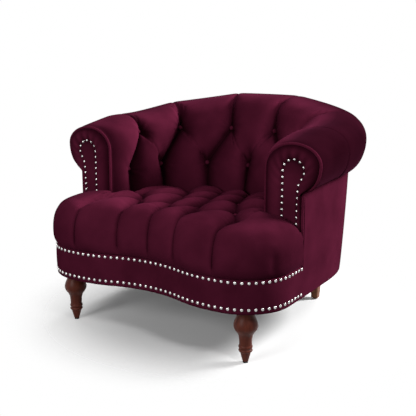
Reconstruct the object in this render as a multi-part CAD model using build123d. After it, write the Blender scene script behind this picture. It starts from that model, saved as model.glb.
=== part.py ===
from build123d import *
import math
import os

os.makedirs("parts", exist_ok=True)

# Clearances
CLEAR = 0.3
NAIL_LIFT = 0.1

# Heights of the base, the seat deck and the rows of nails
BASE_Z = 165.0
DECK_TOP = 268.0
DECK_THICK = 1.0
STRAP_THICK = 1.5
LOWER_NAIL_Z = 180.0
UPPER_NAIL_Z = 259.0
DUST_THICK = 1.2

# Plan: depth over all, the turning axis of the horseshoe, the front bulge and the arm length between
DEPTH = 891.0
ROLL_BACK = 508.0
FRONT_OVERHANG = 10.0
AXIS_Y = DEPTH / 2 - ROLL_BACK
BULGE_Y = -DEPTH / 2 + FRONT_OVERHANG
ARM_RUN = 150.0
FACING_Y = AXIS_Y - ARM_RUN
FACING_THICK = 14.0
POST_THICK = 24.0
ARM_END_RUN = ARM_RUN - FACING_THICK
CORE_RUN = ARM_END_RUN - POST_THICK

# Horseshoe section: distances from the axis at the facing, the arm, the rear corner and the back
INSIDE_LOW = (294.0, 289.0, 262.0, 240.0)
INSIDE_TOP = (296.0, 298.0, 328.0, 313.0)
CREST_R = (390.0, 390.0, 450.0, 424.0)
ROLL_R = (480.0, 480.0, 550.0, ROLL_BACK)
NOTCH_R = (427.0, 427.0, 485.0, 430.0)
BASE_R = (427.0, 424.0, 460.0, 390.0)

# Heights of the crest, the widest point and the underside of the roll: facing, arm, back
CREST_Z = (633.0, 660.0, 730.0)
ROLL_Z = (570.0, 585.0, 625.0)
NOTCH_Z = (491.0, 498.0, 515.0)
ROLL_RISE = 75.0
ROLL_STEPS = 3
SEAT_LINE = 395.0

# Upholstery thicknesses
PAD_INSIDE = 45.0
PAD_ROLL = 32.0
SHEET = 2.5
PANEL = 8.0

# Tufting of the inside back and arms
TUFT_STEP = 33.0
SEAM_STATION = 6
WING_STATION = SEAM_STATION // 3
ARM_BUTTON_RUN = 30.0
UPPER_BUTTON_Z = 607.0
LOWER_BUTTON_Z = 480.0
BUTTON_SPREAD = 38.0
BUTTON_DEPTH = 20.0
PLEAT_DEPTH = 9.0
BUTTON_R = 10.0
BUTTON_THICK = 7.0
POCKET_OUT = 60.0

# Serpentine front
FRONT_BULGE_X = 250.0
FRONT_DENT = 41.0
FRONT_CORNER_R = 150.0
SIDE_X = NOTCH_R[0]
CORNER_WALL = 0.8
CORNER_R = min(FRONT_CORNER_R, CORNER_WALL * (FACING_Y - BULGE_Y))
BORDER = 10.0
RAIL = 28.0
DECK_INSET = 12.0

# Seat
SEAT_WALL = 64.0
SEAT_CORE_TOP = 345.0
SEAT_CROWN = 420.0
SEAT_BACK_Z = 386.0
SEAT_ARM_Z = 404.0
SEAT_EAR_END_Z = 350.0
SEAT_EAR_FLOOR = 26.0
EAR_END_POWER = 8
SEAT_SHOULDER = 38.0
SEAT_PANEL_X = 105.0
SEAT_OUTER_X = 153.0
SEAT_FIRST_ROW = 125.5
SEAT_LAST_ROW = 45.0
SEAT_TUFT = 18.0
SEAT_PLEAT = 7.0
EAR_TUCK = 3.0

# Trim
NAIL_R = 5.5
NAIL_H = 3.2
NAIL_TAPER = 38.0
NAIL_SIDES = 8
ROW_PITCH = 20.0
FACING_PITCH = 19.0
WELT_R = 4.0
NAIL_LOOP_X = 393.0
NAIL_LOOP_R = 35.5
NAIL_LOOP_Z = 550.0
NAIL_WAIST = (408.0, 503.0)
NAIL_START_Z = 396.0

# Legs
FRONT_LEG_IN = 98.0
FRONT_LEG_BACK = 70.0
FRONT_LEG = (SIDE_X - FRONT_LEG_IN, BULGE_Y + FRONT_LEG_BACK)
REAR_LEG_X = 265.0
REAR_LEG_BACK = 321.0
REAR_LEG = (REAR_LEG_X, AXIS_Y + REAR_LEG_BACK)
GLIDE_H = 5.0
GLIDE_R = 8.0
FOOT_R = 8.7
ANKLE_R = 15.6
RING_R = 20.7
NECK_R = 19.2
BULB_R = 36.0
COLLAR_R = 26.0
RING_LOW = 36.0
RING_MID = 44.0
RING_TOP = 55.0
RING_BEVEL = 2.0
NECK_TOP = 72.0
BULB_Z = 114.0
COLLAR_Z = 150.0
REAR_TOP = 42.0
REAR_FOOT = 24.0
BOLT_R = 4.0
BOLT_LEG = 40.0
BOLT_BLOCK = 45.0
BLOCK = 62.0
BLOCK_H = 70.0

# Hidden timber and straps
POST_W = 30.0
STRAP_W = 50.0
STRAP_GAP = 95.0
STRAPS_EACH_WAY = 3


def reach(dims, theta, run):
    """Distance from the axis of a horseshoe line at one station."""
    front, side, corner, back = dims
    if run > 0:
        return side + (front - side) * run / ARM_RUN
    t = math.radians(theta)
    middle = (back + side) / 2
    swing = (back - side) / 2 * math.cos(2 * t)
    return (middle + corner) / 2 + swing + (middle - corner) / 2 * math.cos(4 * t)


def level(dims, theta, run):
    """Height of a horseshoe line at one station."""
    front, side, back = dims
    if run > 0:
        return side + (front - side) * run / ARM_RUN
    return side + (back - side) * math.cos(math.radians(theta)) ** 2


class Station:
    """All the numbers of one upright section across the horseshoe."""

    def __init__(self, theta, run=0.0):
        self.theta = theta
        self.run = run
        self.r_low = reach(INSIDE_LOW, theta, run)
        self.r_top = reach(INSIDE_TOP, theta, run)
        self.r_crest = reach(CREST_R, theta, run)
        self.r_roll = reach(ROLL_R, theta, run)
        self.r_notch = reach(NOTCH_R, theta, run)
        self.r_base = reach(BASE_R, theta, run)
        self.z_crest = level(CREST_Z, theta, run)
        self.z_roll = level(ROLL_Z, theta, run)
        self.z_notch = level(NOTCH_Z, theta, run)
        self.z_rise = self.z_crest - ROLL_RISE

    def place(self, r, z):
        t = math.radians(self.theta)
        return Vector(r * math.sin(t), AXIS_Y + r * math.cos(t) - self.run, z)

    def inside_r(self, z, pad=0.0):
        """Inside face at height z, moved outward by the padding."""
        if z <= SEAT_LINE:
            return self.r_low + pad
        if z <= self.z_rise:
            share = (z - SEAT_LINE) / (self.z_rise - SEAT_LINE)
            return self.r_low + pad + (self.r_top - self.r_low) * share
        lift = (z - self.z_rise) / (self.z_crest - self.z_rise)
        bow = math.sqrt(max(0.0, 1 - lift * lift))
        return self.r_crest - (self.r_crest - self.r_top - pad) * bow

    def panel_r(self, z):
        share = (z - BASE_Z) / (self.z_notch - BASE_Z)
        return self.r_base + (self.r_notch - self.r_base) * share

    def roll_points(self, first, pad, low, end_r):
        """Points over the roll: from the angle first on the inside to the underside."""
        pts = []
        steps = ROLL_STEPS
        for k in range(1, steps + 1):
            a = first + (math.pi / 2 - first) * k / steps
            reach_in = (self.r_crest - self.r_top - pad[0]) * math.cos(a)
            rise = (self.z_crest - pad[1] - self.z_rise) * math.sin(a)
            pts.append((self.r_crest - reach_in, self.z_rise + rise))
        for k in range(1, steps + 1):
            a = math.pi / 2 * (1 - k / steps)
            out = (self.r_roll - pad[1] - self.r_crest) * math.cos(a)
            rise = (self.z_crest - pad[1] - self.z_roll) * math.sin(a)
            pts.append((self.r_crest + out, self.z_roll + rise))
        for k in range(1, steps + 1):
            a = math.pi / 2 * k / steps
            out = (self.r_roll - pad[1] - end_r) * math.cos(a)
            drop = (self.z_roll - self.z_notch - low) * math.sin(a)
            pts.append((end_r + out, self.z_roll - drop))
        return pts

    def skin(self, kind):
        """Visible outline of the tufted cover from the seat line to the underside of the roll."""
        s = BUTTON_SPREAD
        low, high = LOWER_BUTTON_Z, UPPER_BUTTON_Z
        heights = [SEAT_LINE, low - s, low, low + s, high - s, high]
        pts = [(self.inside_r(z), z) for z in heights]
        lift = (high - self.z_rise) / ROLL_RISE
        first = math.asin(max(0.0, lift))
        pts += self.roll_points(first, (0.0, 0.0), 0.0, self.r_notch)
        depth = [0.0] * len(pts)
        if kind == "upper":
            depth[4] = PLEAT_DEPTH / 2
            depth[5] = BUTTON_DEPTH
            for k in range(6, len(pts) - 2):
                depth[k] = PLEAT_DEPTH
        if kind == "lower":
            depth[1] = PLEAT_DEPTH
            depth[2] = BUTTON_DEPTH
            depth[3] = PLEAT_DEPTH / 2
        out = []
        for k, (r, z) in enumerate(pts):
            before = pts[max(0, k - 1)]
            after = pts[min(len(pts) - 1, k + 1)]
            dr, dz = after[0] - before[0], after[1] - before[1]
            size = math.hypot(dr, dz)
            out.append((r + dz / size * depth[k], z - dr / size * depth[k]))
        return out

    def polygon(self, pts):
        corners = [self.place(r, z) for r, z in pts]
        edges = [Line(a, b) for a, b in zip(corners, corners[1:] + corners[:1])]
        return Wire(edges)

    def pad_wire(self, kind):
        skin = [self.place(r, z) for r, z in self.skin(kind)]
        pad = (PAD_INSIDE - CLEAR, PAD_ROLL - CLEAR)
        roll = self.roll_points(0.0, pad, PAD_ROLL - CLEAR, self.r_notch)
        start = (self.r_top + pad[0], self.z_rise)
        back = [self.place(r, z) for r, z in [start] + roll][::-1]
        foot = DECK_TOP + CLEAR
        knee = self.place(self.r_low + pad[0], SEAT_LINE)
        toe = self.place(self.r_low + pad[0], foot)
        heel = self.place(self.r_low, foot)
        return Wire([Line(heel, skin[0]), Spline(*skin), Line(skin[-1], back[0]), Spline(*back),
                     Line(back[-1], knee), Line(knee, toe), Line(toe, heel)])

    def core_wire(self):
        pad = (PAD_INSIDE, PAD_ROLL)
        roll = self.roll_points(0.0, pad, PAD_ROLL, self.r_notch - CLEAR)
        floor = self.z_notch + PAD_ROLL
        start = self.place(self.r_top + PAD_INSIDE, self.z_rise)
        foot = self.place(self.inside_r(floor, PAD_INSIDE), floor)
        over = [start] + [self.place(r, z) for r, z in roll]
        return Wire([Line(foot, start), Spline(*over), Line(over[-1], foot)])

    def rail_wire(self):
        top = self.z_notch + PAD_ROLL
        edge = self.r_notch - CLEAR
        return self.polygon([(self.inside_r(self.z_notch, PAD_INSIDE), self.z_notch),
                             (self.inside_r(top, PAD_INSIDE), top), (edge, top), (edge, self.z_notch)])

    def sheet_wire(self):
        near = PAD_INSIDE
        far = PAD_INSIDE + SHEET
        top = self.z_notch - CLEAR
        return self.polygon([(self.r_low + near, DECK_TOP), (self.r_low + near, SEAT_LINE),
                             (self.inside_r(top, near), top), (self.inside_r(top, far), top),
                             (self.r_low + far, SEAT_LINE), (self.r_low + far, DECK_TOP)])

    def panel_wire(self):
        top = self.z_notch - CLEAR
        edge = self.panel_r(top)
        return self.polygon([(self.r_base - PANEL, BASE_Z), (self.r_base, BASE_Z),
                             (edge, top), (edge - PANEL, top)])

    def rail_base_wire(self):
        top = DECK_TOP - DECK_THICK - 2 * STRAP_THICK
        outer_low = self.panel_r(BASE_Z) - PANEL
        outer_top = self.panel_r(top) - PANEL
        inner = self.r_base - PANEL - RAIL
        return self.polygon([(inner, BASE_Z), (outer_low, BASE_Z), (outer_top, top), (inner, top)])

    def post_wire(self):
        """Scroll-shaped front post, filling the section inside the cover."""
        pad = (PAD_INSIDE, PAD_ROLL)
        edge = self.r_notch - CLEAR
        roll = self.roll_points(0.0, pad, PAD_ROLL, edge)
        start = self.place(self.r_top + PAD_INSIDE, self.z_rise)
        over = [start] + [self.place(r, z) for r, z in roll]
        step = [(edge, self.z_notch), (self.r_notch - PANEL, self.z_notch),
                (self.panel_r(DECK_TOP) - PANEL, DECK_TOP), (self.r_low + PAD_INSIDE, DECK_TOP),
                (self.r_low + PAD_INSIDE, SEAT_LINE)]
        corners = [over[-1]] + [self.place(r, z) for r, z in step] + [start]
        return Wire([Spline(*over)] + [Line(a, b) for a, b in zip(corners, corners[1:])])


def both_sides(shape):
    return shape, mirror(shape, about=Plane.YZ)


def ruled(wires):
    return Solid.make_loft(wires, ruled=True)


def save(node, shape):
    export_step(shape, "parts/" + node + ".step")


def group(shapes):
    return Compound(children=list(shapes))


# Stations round the horseshoe: pleats of the upper row and of the lower row take turns
QUARTER = TUFT_STEP / 4
KINDS = ("lower", "plain", "upper", "plain")
BACK_STATIONS = [(k * QUARTER, 0.0, KINDS[abs(k) % 4]) for k in range(-SEAM_STATION, SEAM_STATION + 1)]
LAST_PLEAT = 10
ARM_STATIONS = [(k * QUARTER, 0.0, KINDS[k % 4]) for k in range(SEAM_STATION, LAST_PLEAT + 1)]
ARM_STATIONS += [(90.0, 0.0, "plain"), (90.0, ARM_BUTTON_RUN, "lower"),
                 (90.0, 2 * ARM_BUTTON_RUN, "plain"), (90.0, CORE_RUN, "plain")]
FRONT_STATION = (90.0, ARM_END_RUN, "plain")

back = [(Station(t, run), kind) for t, run, kind in BACK_STATIONS]
arm = [(Station(t, run), kind) for t, run, kind in ARM_STATIONS]
front = Station(FRONT_STATION[0], FRONT_STATION[1])
arm_to_front = arm + [(front, "plain")]

middle = back[SEAM_STATION - WING_STATION:SEAM_STATION + WING_STATION + 1]
wing = back[SEAM_STATION + WING_STATION:]

back_pad = ruled([s.pad_wire(kind) for s, kind in middle])
wing_pad = ruled([s.pad_wire(kind) for s, kind in wing])
arm_pad = ruled([s.pad_wire(kind) for s, kind in arm_to_front])
back_core = ruled([s.core_wire() for s, kind in back])
arm_core = ruled([s.core_wire() for s, kind in arm])
back_rail = ruled([s.rail_wire() for s, kind in back])
arm_rail = ruled([s.rail_wire() for s, kind in arm])
back_sheet = ruled([s.sheet_wire() for s, kind in back])
arm_sheet = ruled([s.sheet_wire() for s, kind in arm])
back_panel = ruled([s.panel_wire() for s, kind in back])
arm_panel = ruled([s.panel_wire() for s, kind in arm_to_front])
base_back = ruled([s.rail_base_wire() for s, kind in back])
base_side = ruled([s.rail_base_wire() for s, kind in arm_to_front])
arm_post = ruled([front.post_wire(), arm[-1][0].post_wire()])


# Buttons of the inside back and arms, each in its own pocket
def button_plane(station, height):
    """Plane at the floor of a button, its normal leaving the upholstery."""
    step = 1.0
    low = station.inside_r(height - step)
    high = station.inside_r(height + step)
    lean = math.atan2(high - low, 2 * step)
    r = station.inside_r(height) + BUTTON_DEPTH * math.cos(lean)
    z = height - BUTTON_DEPTH * math.sin(lean)
    origin = station.place(r, z)
    tip = station.place(r - math.cos(lean), z + math.sin(lean))
    return Plane(origin, z_dir=tip - origin)


def button_at(plane):
    cap = Cylinder(BUTTON_R, BUTTON_THICK, align=(Align.CENTER, Align.CENTER, Align.MIN))
    cap = chamfer(cap.faces().sort_by(Axis.Z)[-1].edges(), BUTTON_THICK / 2)
    return plane * cap


def pocket_at(plane):
    pocket = Cylinder(BUTTON_R + CLEAR, POCKET_OUT, align=(Align.CENTER, Align.CENTER, Align.MIN))
    return plane * pocket


planes = []
for s, kind in back + arm:
    if s.theta < 0 or kind == "plain":
        continue
    if s.theta == ARM_STATIONS[0][0] and (s, kind) in back:
        continue
    height = UPPER_BUTTON_Z if kind == "upper" else LOWER_BUTTON_Z
    planes.append(button_plane(s, height))
back_buttons = []
for plane in planes:
    on_centre = abs(plane.origin.X) < 1
    for side in both_sides(button_at(plane))[:1 if on_centre else 2]:
        back_buttons.append(side)
    for side in both_sides(pocket_at(plane))[:1 if on_centre else 2]:
        back_pad = back_pad - side
        if side.center().X > 0:
            wing_pad = wing_pad - side
            arm_pad = arm_pad - side

# Posts standing behind the inside sheet
half = POST_W / 2
back_posts = []
for s, kind in back[2::4] + arm[2:5:2]:
    z_top = s.z_notch
    far = PAD_INSIDE + SHEET
    shape = s.polygon([(s.r_low + far, DECK_TOP), (s.r_low + far, SEAT_LINE),
                       (s.inside_r(z_top, far), z_top), (s.r_notch - PANEL, z_top),
                       (s.panel_r(DECK_TOP) - PANEL, DECK_TOP)])
    t = math.radians(s.theta)
    tangent = Vector(math.cos(t), -math.sin(t), 0)
    post = extrude(Face(shape), amount=half, dir=tangent, both=True)
    post = post - back_panel - arm_panel - back_sheet - arm_sheet - back_rail - arm_rail
    back_posts.append(post)
    if (s, kind) in arm:
        back_posts.append(mirror(post, about=Plane.YZ))


# Serpentine front: concave middle, two bulges and two corners, tangent to each other
SUM_R = (FRONT_BULGE_X ** 2 + FRONT_DENT ** 2) / (2 * FRONT_DENT)
WAVE_R = SUM_R / 2
HOLLOW = Vector(0, BULGE_Y + FRONT_DENT - WAVE_R, 0)
BULGE = Vector(FRONT_BULGE_X, BULGE_Y + WAVE_R, 0)
CORNER_X = SIDE_X - CORNER_R
CORNER_DROP = math.sqrt((WAVE_R - CORNER_R) ** 2 - (CORNER_X - FRONT_BULGE_X) ** 2)
CORNER = Vector(CORNER_X, BULGE.Y - CORNER_DROP, 0)


def front_points(off):
    """Tangent points of the front line, moved outward by off: middle, wave, corner, side."""
    middle = HOLLOW + Vector(0, 1, 0) * (WAVE_R - off)
    wave = HOLLOW + (BULGE - HOLLOW).normalized() * (WAVE_R - off)
    turn = BULGE + (CORNER - BULGE).normalized() * (WAVE_R + off)
    side = CORNER + Vector(1, 0, 0) * (CORNER_R + off)
    return middle, wave, turn, side


def arc_through(start, end, centre):
    middle = ((start + end) / 2 - centre).normalized() * (start - centre).length + centre
    return ThreePointArc(start, middle, end)


def flip(point):
    return Vector(-point.X, point.Y, point.Z)


def front_edges(off, end_y):
    """Edges of the front line from the left end to the right end."""
    middle, wave, turn, side = front_points(off)
    end = Vector(side.X, end_y, 0)
    left = [Line(flip(end), flip(side)), arc_through(flip(side), flip(turn), flip(CORNER)),
            arc_through(flip(turn), flip(wave), flip(BULGE))]
    right = [arc_through(wave, turn, BULGE), arc_through(turn, side, CORNER), Line(side, end)]
    return left + [arc_through(flip(wave), wave, HOLLOW)] + right


def front_y(x, off):
    """Depth of the front line at one distance from the middle."""
    middle, wave, turn, side = front_points(off)
    x = abs(x)
    if x <= wave.X:
        return HOLLOW.Y + math.sqrt((WAVE_R - off) ** 2 - x * x)
    if x <= turn.X:
        return BULGE.Y - math.sqrt((WAVE_R + off) ** 2 - (x - BULGE.X) ** 2)
    return CORNER.Y - math.sqrt(max(0.0, (CORNER_R + off) ** 2 - (x - CORNER.X) ** 2))


def strip(outer, inner, end_y, low, high):
    """Upright strip of constant thickness along the front line."""
    a = front_edges(outer, end_y)
    b = front_edges(inner, end_y)
    ends = [Line(a[0] @ 0, b[0] @ 0), Line(a[-1] @ 1, b[-1] @ 1)]
    face = Face(Wire(a + b + ends))
    return Pos(0, 0, low) * extrude(face, amount=high - low, dir=(0, 0, 1))


def base_outline(off, end_y):
    """Closed line of the base in plan, moved inward by off."""
    rear = [Station(k * QUARTER) for k in range(-LAST_PLEAT, LAST_PLEAT + 1)]
    rear = [Station(-90.0)] + rear + [Station(90.0)]
    pts = [s.place(s.r_base - off, 0) for s in rear]
    ends = front_edges(-off, end_y)
    chain = [ends[0] @ 0] + pts + [ends[-1] @ 1]
    return Wire(ends + [Line(a, b) for a, b in zip(chain, chain[1:])])


ARM_FRONT_Y = AXIS_Y - ARM_END_RUN
RAIL_TOP = DECK_TOP - DECK_THICK - 2 * STRAP_THICK
front_border = strip(0.0, -BORDER, ARM_FRONT_Y, BASE_Z, DECK_TOP)
front_rail = strip(-BORDER, -BORDER - RAIL, ARM_FRONT_Y, BASE_Z, RAIL_TOP)
deck_face = Face(base_outline(DECK_INSET, ARM_FRONT_Y))
seat_deck = Pos(0, 0, DECK_TOP - DECK_THICK) * extrude(deck_face, amount=DECK_THICK, dir=(0, 0, 1))
inner_face = Face(base_outline(BORDER + RAIL + CLEAR, ARM_FRONT_Y))
inner_room = Pos(0, 0, BASE_Z) * extrude(inner_face, amount=BLOCK_H, dir=(0, 0, 1))
dust_face = Face(base_outline(BORDER, ARM_FRONT_Y))
dust_cover = Pos(0, 0, BASE_Z - DUST_THICK) * extrude(dust_face, amount=DUST_THICK, dir=(0, 0, 1))

# Straps across the top of the rails
strap_face = Face(base_outline(DECK_INSET, ARM_FRONT_Y))
STRAP_Z = RAIL_TOP
strap_room = Pos(0, 0, STRAP_Z) * extrude(strap_face, amount=2 * STRAP_THICK, dir=(0, 0, 1))
long_straps = []
for k in range(-STRAPS_EACH_WAY, STRAPS_EACH_WAY + 1):
    box = Box(STRAP_W, 2 * DEPTH, STRAP_THICK, align=(Align.CENTER, Align.CENTER, Align.MIN))
    long_straps.append(strap_room & (Pos(k * STRAP_GAP, 0, STRAP_Z) * box))
cross_straps = []
for k in range(-STRAPS_EACH_WAY, STRAPS_EACH_WAY + 1):
    box = Box(2 * DEPTH, STRAP_W, STRAP_THICK, align=(Align.CENTER, Align.CENTER, Align.MIN))
    cross_straps.append(strap_room & (Pos(0, k * STRAP_GAP, STRAP_Z + STRAP_THICK) * box))


# Seat: upright sections side by side, tufted on top and pleated over the front
STEM_EDGE = INSIDE_LOW[1] - 2 * CLEAR
EAR_EDGE = SIDE_X + FRONT_OVERHANG - CLEAR
CHORD = math.cos(math.radians(QUARTER / 2))


def seat_back_y(x):
    """Back edge of the seat between the arms, just clear of the inside back."""
    low, high = 0.0, 90.0
    for k in range(40):
        theta = (low + high) / 2
        if reach(INSIDE_LOW, theta, 0.0) * CHORD * math.sin(math.radians(theta)) < x:
            low = theta
        else:
            high = theta
    return AXIS_Y + reach(INSIDE_LOW, low, 0.0) * CHORD * math.cos(math.radians(low)) - CLEAR


def seat_top(x):
    """Crown of the seat across its width, dying away at the ends of the ears."""
    if abs(x) <= STEM_EDGE:
        return SEAT_CROWN - (SEAT_CROWN - SEAT_ARM_Z) * (x / STEM_EDGE) ** 2
    share = (abs(x) - STEM_EDGE) / (EAR_EDGE - STEM_EDGE)
    return SEAT_EAR_END_Z + (SEAT_ARM_Z - SEAT_EAR_END_Z) * math.sqrt(1 - min(1.0, share) ** 2)


def seat_front_points(x, kind, floor):
    """Front of one section: out from the nails, up and over the shoulder."""
    f = front_y(x, FRONT_OVERHANG - CLEAR)
    fold = SEAT_PLEAT if kind == "pleat" else 0.0
    top = seat_top(x)
    fall = top - floor
    return [(f + FRONT_OVERHANG, floor), (f + fold / 2, floor + fall / 4), (f + fold, floor + fall / 2),
            (f + SEAT_SHOULDER / 4 + fold, floor + fall * 3 / 4), (f + SEAT_SHOULDER + fold, top - SEAT_SHOULDER / 4)]


def stem_points(x, kind):
    """Outline of one section between the arms, from the nails to the back edge."""
    back_y = seat_back_y(abs(x))
    top = seat_top(x)
    pts = seat_front_points(x, kind, DECK_TOP + CLEAR)
    start = BULGE_Y + SEAT_FIRST_ROW
    span = back_y - SEAT_LAST_ROW - start
    rows = {"pleat": (0, 4), "tuft": (2, 6), "full": ()}[kind]
    for k in range(7):
        z = top + (SEAT_BACK_Z - top) * (k / 7) ** 2
        if k in rows:
            z -= SEAT_TUFT
        pts.append((start + span * k / 6, z))
    pts.append((back_y, SEAT_BACK_Z - SEAT_SHOULDER / 4))
    return pts


def stem_wire(x, kind):
    p = [Vector(x, y, z) for y, z in stem_points(x, kind)]
    step_y = front_y(x, FRONT_OVERHANG - CLEAR) + SEAT_WALL
    floor = DECK_TOP + CLEAR
    corners = [p[-1], Vector(x, p[-1].Y, SEAT_CORE_TOP), Vector(x, step_y, SEAT_CORE_TOP),
               Vector(x, step_y, floor), p[0]]
    return Wire([Spline(*p)] + [Line(a, b) for a, b in zip(corners, corners[1:])])


def stem_core_wire(x):
    near = front_y(x, FRONT_OVERHANG - CLEAR) + SEAT_WALL + CLEAR
    far = seat_back_y(abs(x))
    floor, top = DECK_TOP, SEAT_CORE_TOP - CLEAR
    p = [Vector(x, near, floor), Vector(x, far, floor), Vector(x, far, top), Vector(x, near, top)]
    return Wire([Line(a, b) for a, b in zip(p, p[1:] + p[:1])])


def ear_wire(x, kind):
    share = (abs(x) - STEM_EDGE) / (EAR_EDGE - STEM_EDGE)
    floor = DECK_TOP + CLEAR + SEAT_EAR_FLOOR * share ** EAR_END_POWER
    rear = FACING_Y - CLEAR
    pts = seat_front_points(x, kind, floor)
    top = seat_top(x)
    last = pts[-1][0]
    pts.append(((last + rear) / 2, top))
    pts.append((rear, top - SEAT_SHOULDER / 4))
    tuck = EAR_TUCK if share == 0 else 0.0
    pts = [(min(rear, y + tuck), max(floor, z - tuck)) for y, z in pts]
    p = [Vector(x, y, z) for y, z in pts]
    foot = Vector(x, rear, floor)
    return Wire([Spline(*p), Line(p[-1], foot), Line(foot, p[0])])


columns = [(0.0, "pleat"), (SEAT_PANEL_X / 4, "full"), (SEAT_PANEL_X / 2, "tuft"),
           (SEAT_PANEL_X * 3 / 4, "full"), (SEAT_PANEL_X, "pleat")]
for part, kind in ((1, "full"), (2, "tuft"), (3, "full"), (4, "pleat")):
    columns.append((SEAT_PANEL_X + SEAT_OUTER_X * part / 4, kind))
columns.append((STEM_EDGE, "full"))
stem_columns = [(-x, kind) for x, kind in columns[:0:-1]] + columns
EAR_PARTS = 6
ear_columns = []
for k in range(EAR_PARTS + 1):
    swing = math.sin(math.pi / 2 * k / EAR_PARTS)
    ear_columns.append((STEM_EDGE + (EAR_EDGE - STEM_EDGE) * swing, "pleat" if k == 3 else "full"))
seat_stem = ruled([stem_wire(x, kind) for x, kind in stem_columns])
seat_ear = ruled([ear_wire(x, kind) for x, kind in ear_columns])
seat_cover = seat_stem
for ear in both_sides(seat_ear):
    seat_cover = seat_cover + ear
core_columns = [max(-STEM_EDGE + CLEAR, min(STEM_EDGE - CLEAR, x)) for x, kind in stem_columns]
seat_foam = ruled([stem_core_wire(x) for x in core_columns])

# Buttons sunk in the seat
seat_buttons = []
for x, kind in stem_columns:
    rows = {"pleat": (0, 4), "tuft": (2, 6), "full": ()}[kind]
    pts = stem_points(x, kind)[5:12]
    for k in rows:
        plane = Plane(Vector(x, pts[k][0], pts[k][1]), z_dir=(0, 0, 1))
        seat_buttons.append(button_at(plane))
        seat_cover = seat_cover - pocket_at(plane)


# Arm facings with their welt and nails
facing_station = Station(90.0, ARM_RUN)


def facing_edges(inset, floor):
    """Scroll outline of the arm front, moved in by inset, open at the floor."""
    s = facing_station
    plane = Plane(Vector(0, FACING_Y, 0), x_dir=(1, 0, 0), z_dir=(0, -1, 0))
    bend = WELT_R + inset
    bend_r, bend_z = s.r_notch + WELT_R, s.z_notch - WELT_R
    near, far = s.r_top + inset, s.r_roll - inset
    top, low = s.z_crest - inset, s.z_notch + inset
    edges = [Line((near, floor), (near, s.z_rise)),
             EllipticalCenterArc((s.r_crest, s.z_rise), s.r_crest - near, top - s.z_rise, start_angle=90),
             EllipticalCenterArc((s.r_crest, s.z_roll), far - s.r_crest, top - s.z_roll, start_angle=0),
             EllipticalCenterArc((bend_r, s.z_roll), far - bend_r, s.z_roll - low, start_angle=270),
             CenterArc((bend_r, bend_z), bend, 90, 90),
             Line((bend_r - bend, bend_z), (bend_r - bend, floor))]
    return [plane * edge for edge in edges]


welt_edges = facing_edges(WELT_R, DECK_TOP + CLEAR)
welt_path = Pos(0, FACING_THICK - WELT_R, 0) * Wire(welt_edges)
welt_start = Plane(welt_path @ 0, z_dir=welt_path % 0)
arm_welt = sweep(welt_start * Circle(WELT_R), path=welt_path)
face_edges = facing_edges(2 * WELT_R + CLEAR, DECK_TOP + CLEAR)
face_edges.append(Line(face_edges[-1] @ 1, face_edges[0] @ 0))
arm_facing = extrude(Face(Wire(face_edges)), amount=FACING_THICK, dir=(0, 1, 0))

nail_face = Face(Wire(Polyline(*[Vector(NAIL_R * math.cos(2 * math.pi * k / NAIL_SIDES),
                                        NAIL_R * math.sin(2 * math.pi * k / NAIL_SIDES), 0)
                                 for k in range(NAIL_SIDES)], close=True)))
nail = extrude(nail_face, amount=NAIL_H, taper=NAIL_TAPER)


def nail_at(point, outward):
    return Plane(point + outward * NAIL_LIFT, x_dir=(0, 0, 1), z_dir=outward) * nail


def along(path, pitch):
    """Even places on a path, half a pitch in from both ends."""
    count = int(path.length / pitch)
    return [(k + 0.5) / count for k in range(count)]


loop_left = Vector(NAIL_LOOP_X - NAIL_LOOP_R, FACING_Y, NAIL_LOOP_Z)
loop_top = Vector(NAIL_LOOP_X, FACING_Y, NAIL_LOOP_Z + NAIL_LOOP_R)
loop_right = Vector(NAIL_LOOP_X + NAIL_LOOP_R, FACING_Y, NAIL_LOOP_Z)
waist = Vector(NAIL_WAIST[0], FACING_Y, NAIL_WAIST[1])
loop = Wire([Line(Vector(loop_left.X, FACING_Y, NAIL_START_Z), loop_left),
             ThreePointArc(loop_left, loop_top, loop_right),
             Spline(loop_right, waist, tangents=[Vector(0, 0, -1), Vector(0, 0, -1)]),
             Line(waist, Vector(waist.X, FACING_Y, NAIL_START_Z))])
facing_nails = [nail_at(loop @ u, Vector(0, -1, 0)) for u in along(loop, FACING_PITCH)]

row_path = Wire(front_edges(0.0, ARM_FRONT_Y))


def nail_row(height):
    nails = []
    for u in along(row_path, ROW_PITCH):
        point = row_path @ u
        heading = row_path % u
        outward = Vector(heading.Y, -heading.X, 0).normalized()
        nails.append(nail_at(Vector(point.X, point.Y, height), outward))
    return nails


# Legs, blocks and fixings
def turned_leg():
    """Front leg turned about its own axis: foot, double ring, neck, bulb and collar."""
    top = BASE_Z - DUST_THICK
    straight = [(FOOT_R, GLIDE_H), (ANKLE_R, RING_LOW - RING_BEVEL), (RING_R, RING_LOW),
                (RING_R, RING_MID - RING_BEVEL), (NECK_R, RING_MID), (RING_R, RING_MID + RING_BEVEL),
                (RING_R, RING_TOP - RING_BEVEL), (NECK_R, RING_TOP), (NECK_R, NECK_TOP)]
    pts = [Vector(r, 0, z) for r, z in straight]
    bulb = Vector(BULB_R, 0, BULB_Z)
    collar = Vector(COLLAR_R, 0, COLLAR_Z)
    rim = Vector(COLLAR_R, 0, top)
    up = Vector(0, 0, 1)
    foot, head = Vector(0, 0, GLIDE_H), Vector(0, 0, top)
    edges = [Line(foot, pts[0])] + [Line(a, b) for a, b in zip(pts, pts[1:])]
    edges += [Spline(pts[-1], bulb, tangents=[up, up]), Spline(bulb, collar, tangents=[up, up]),
              Line(collar, rim), Line(rim, head), Line(head, foot)]
    return revolve(Face(Wire(edges)), axis=Axis.Z)


def square(size, z):
    h = size / 2
    p = [Vector(-h, -h, z), Vector(h, -h, z), Vector(h, h, z), Vector(-h, h, z)]
    return Wire([Line(a, b) for a, b in zip(p, p[1:] + p[:1])])


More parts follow.
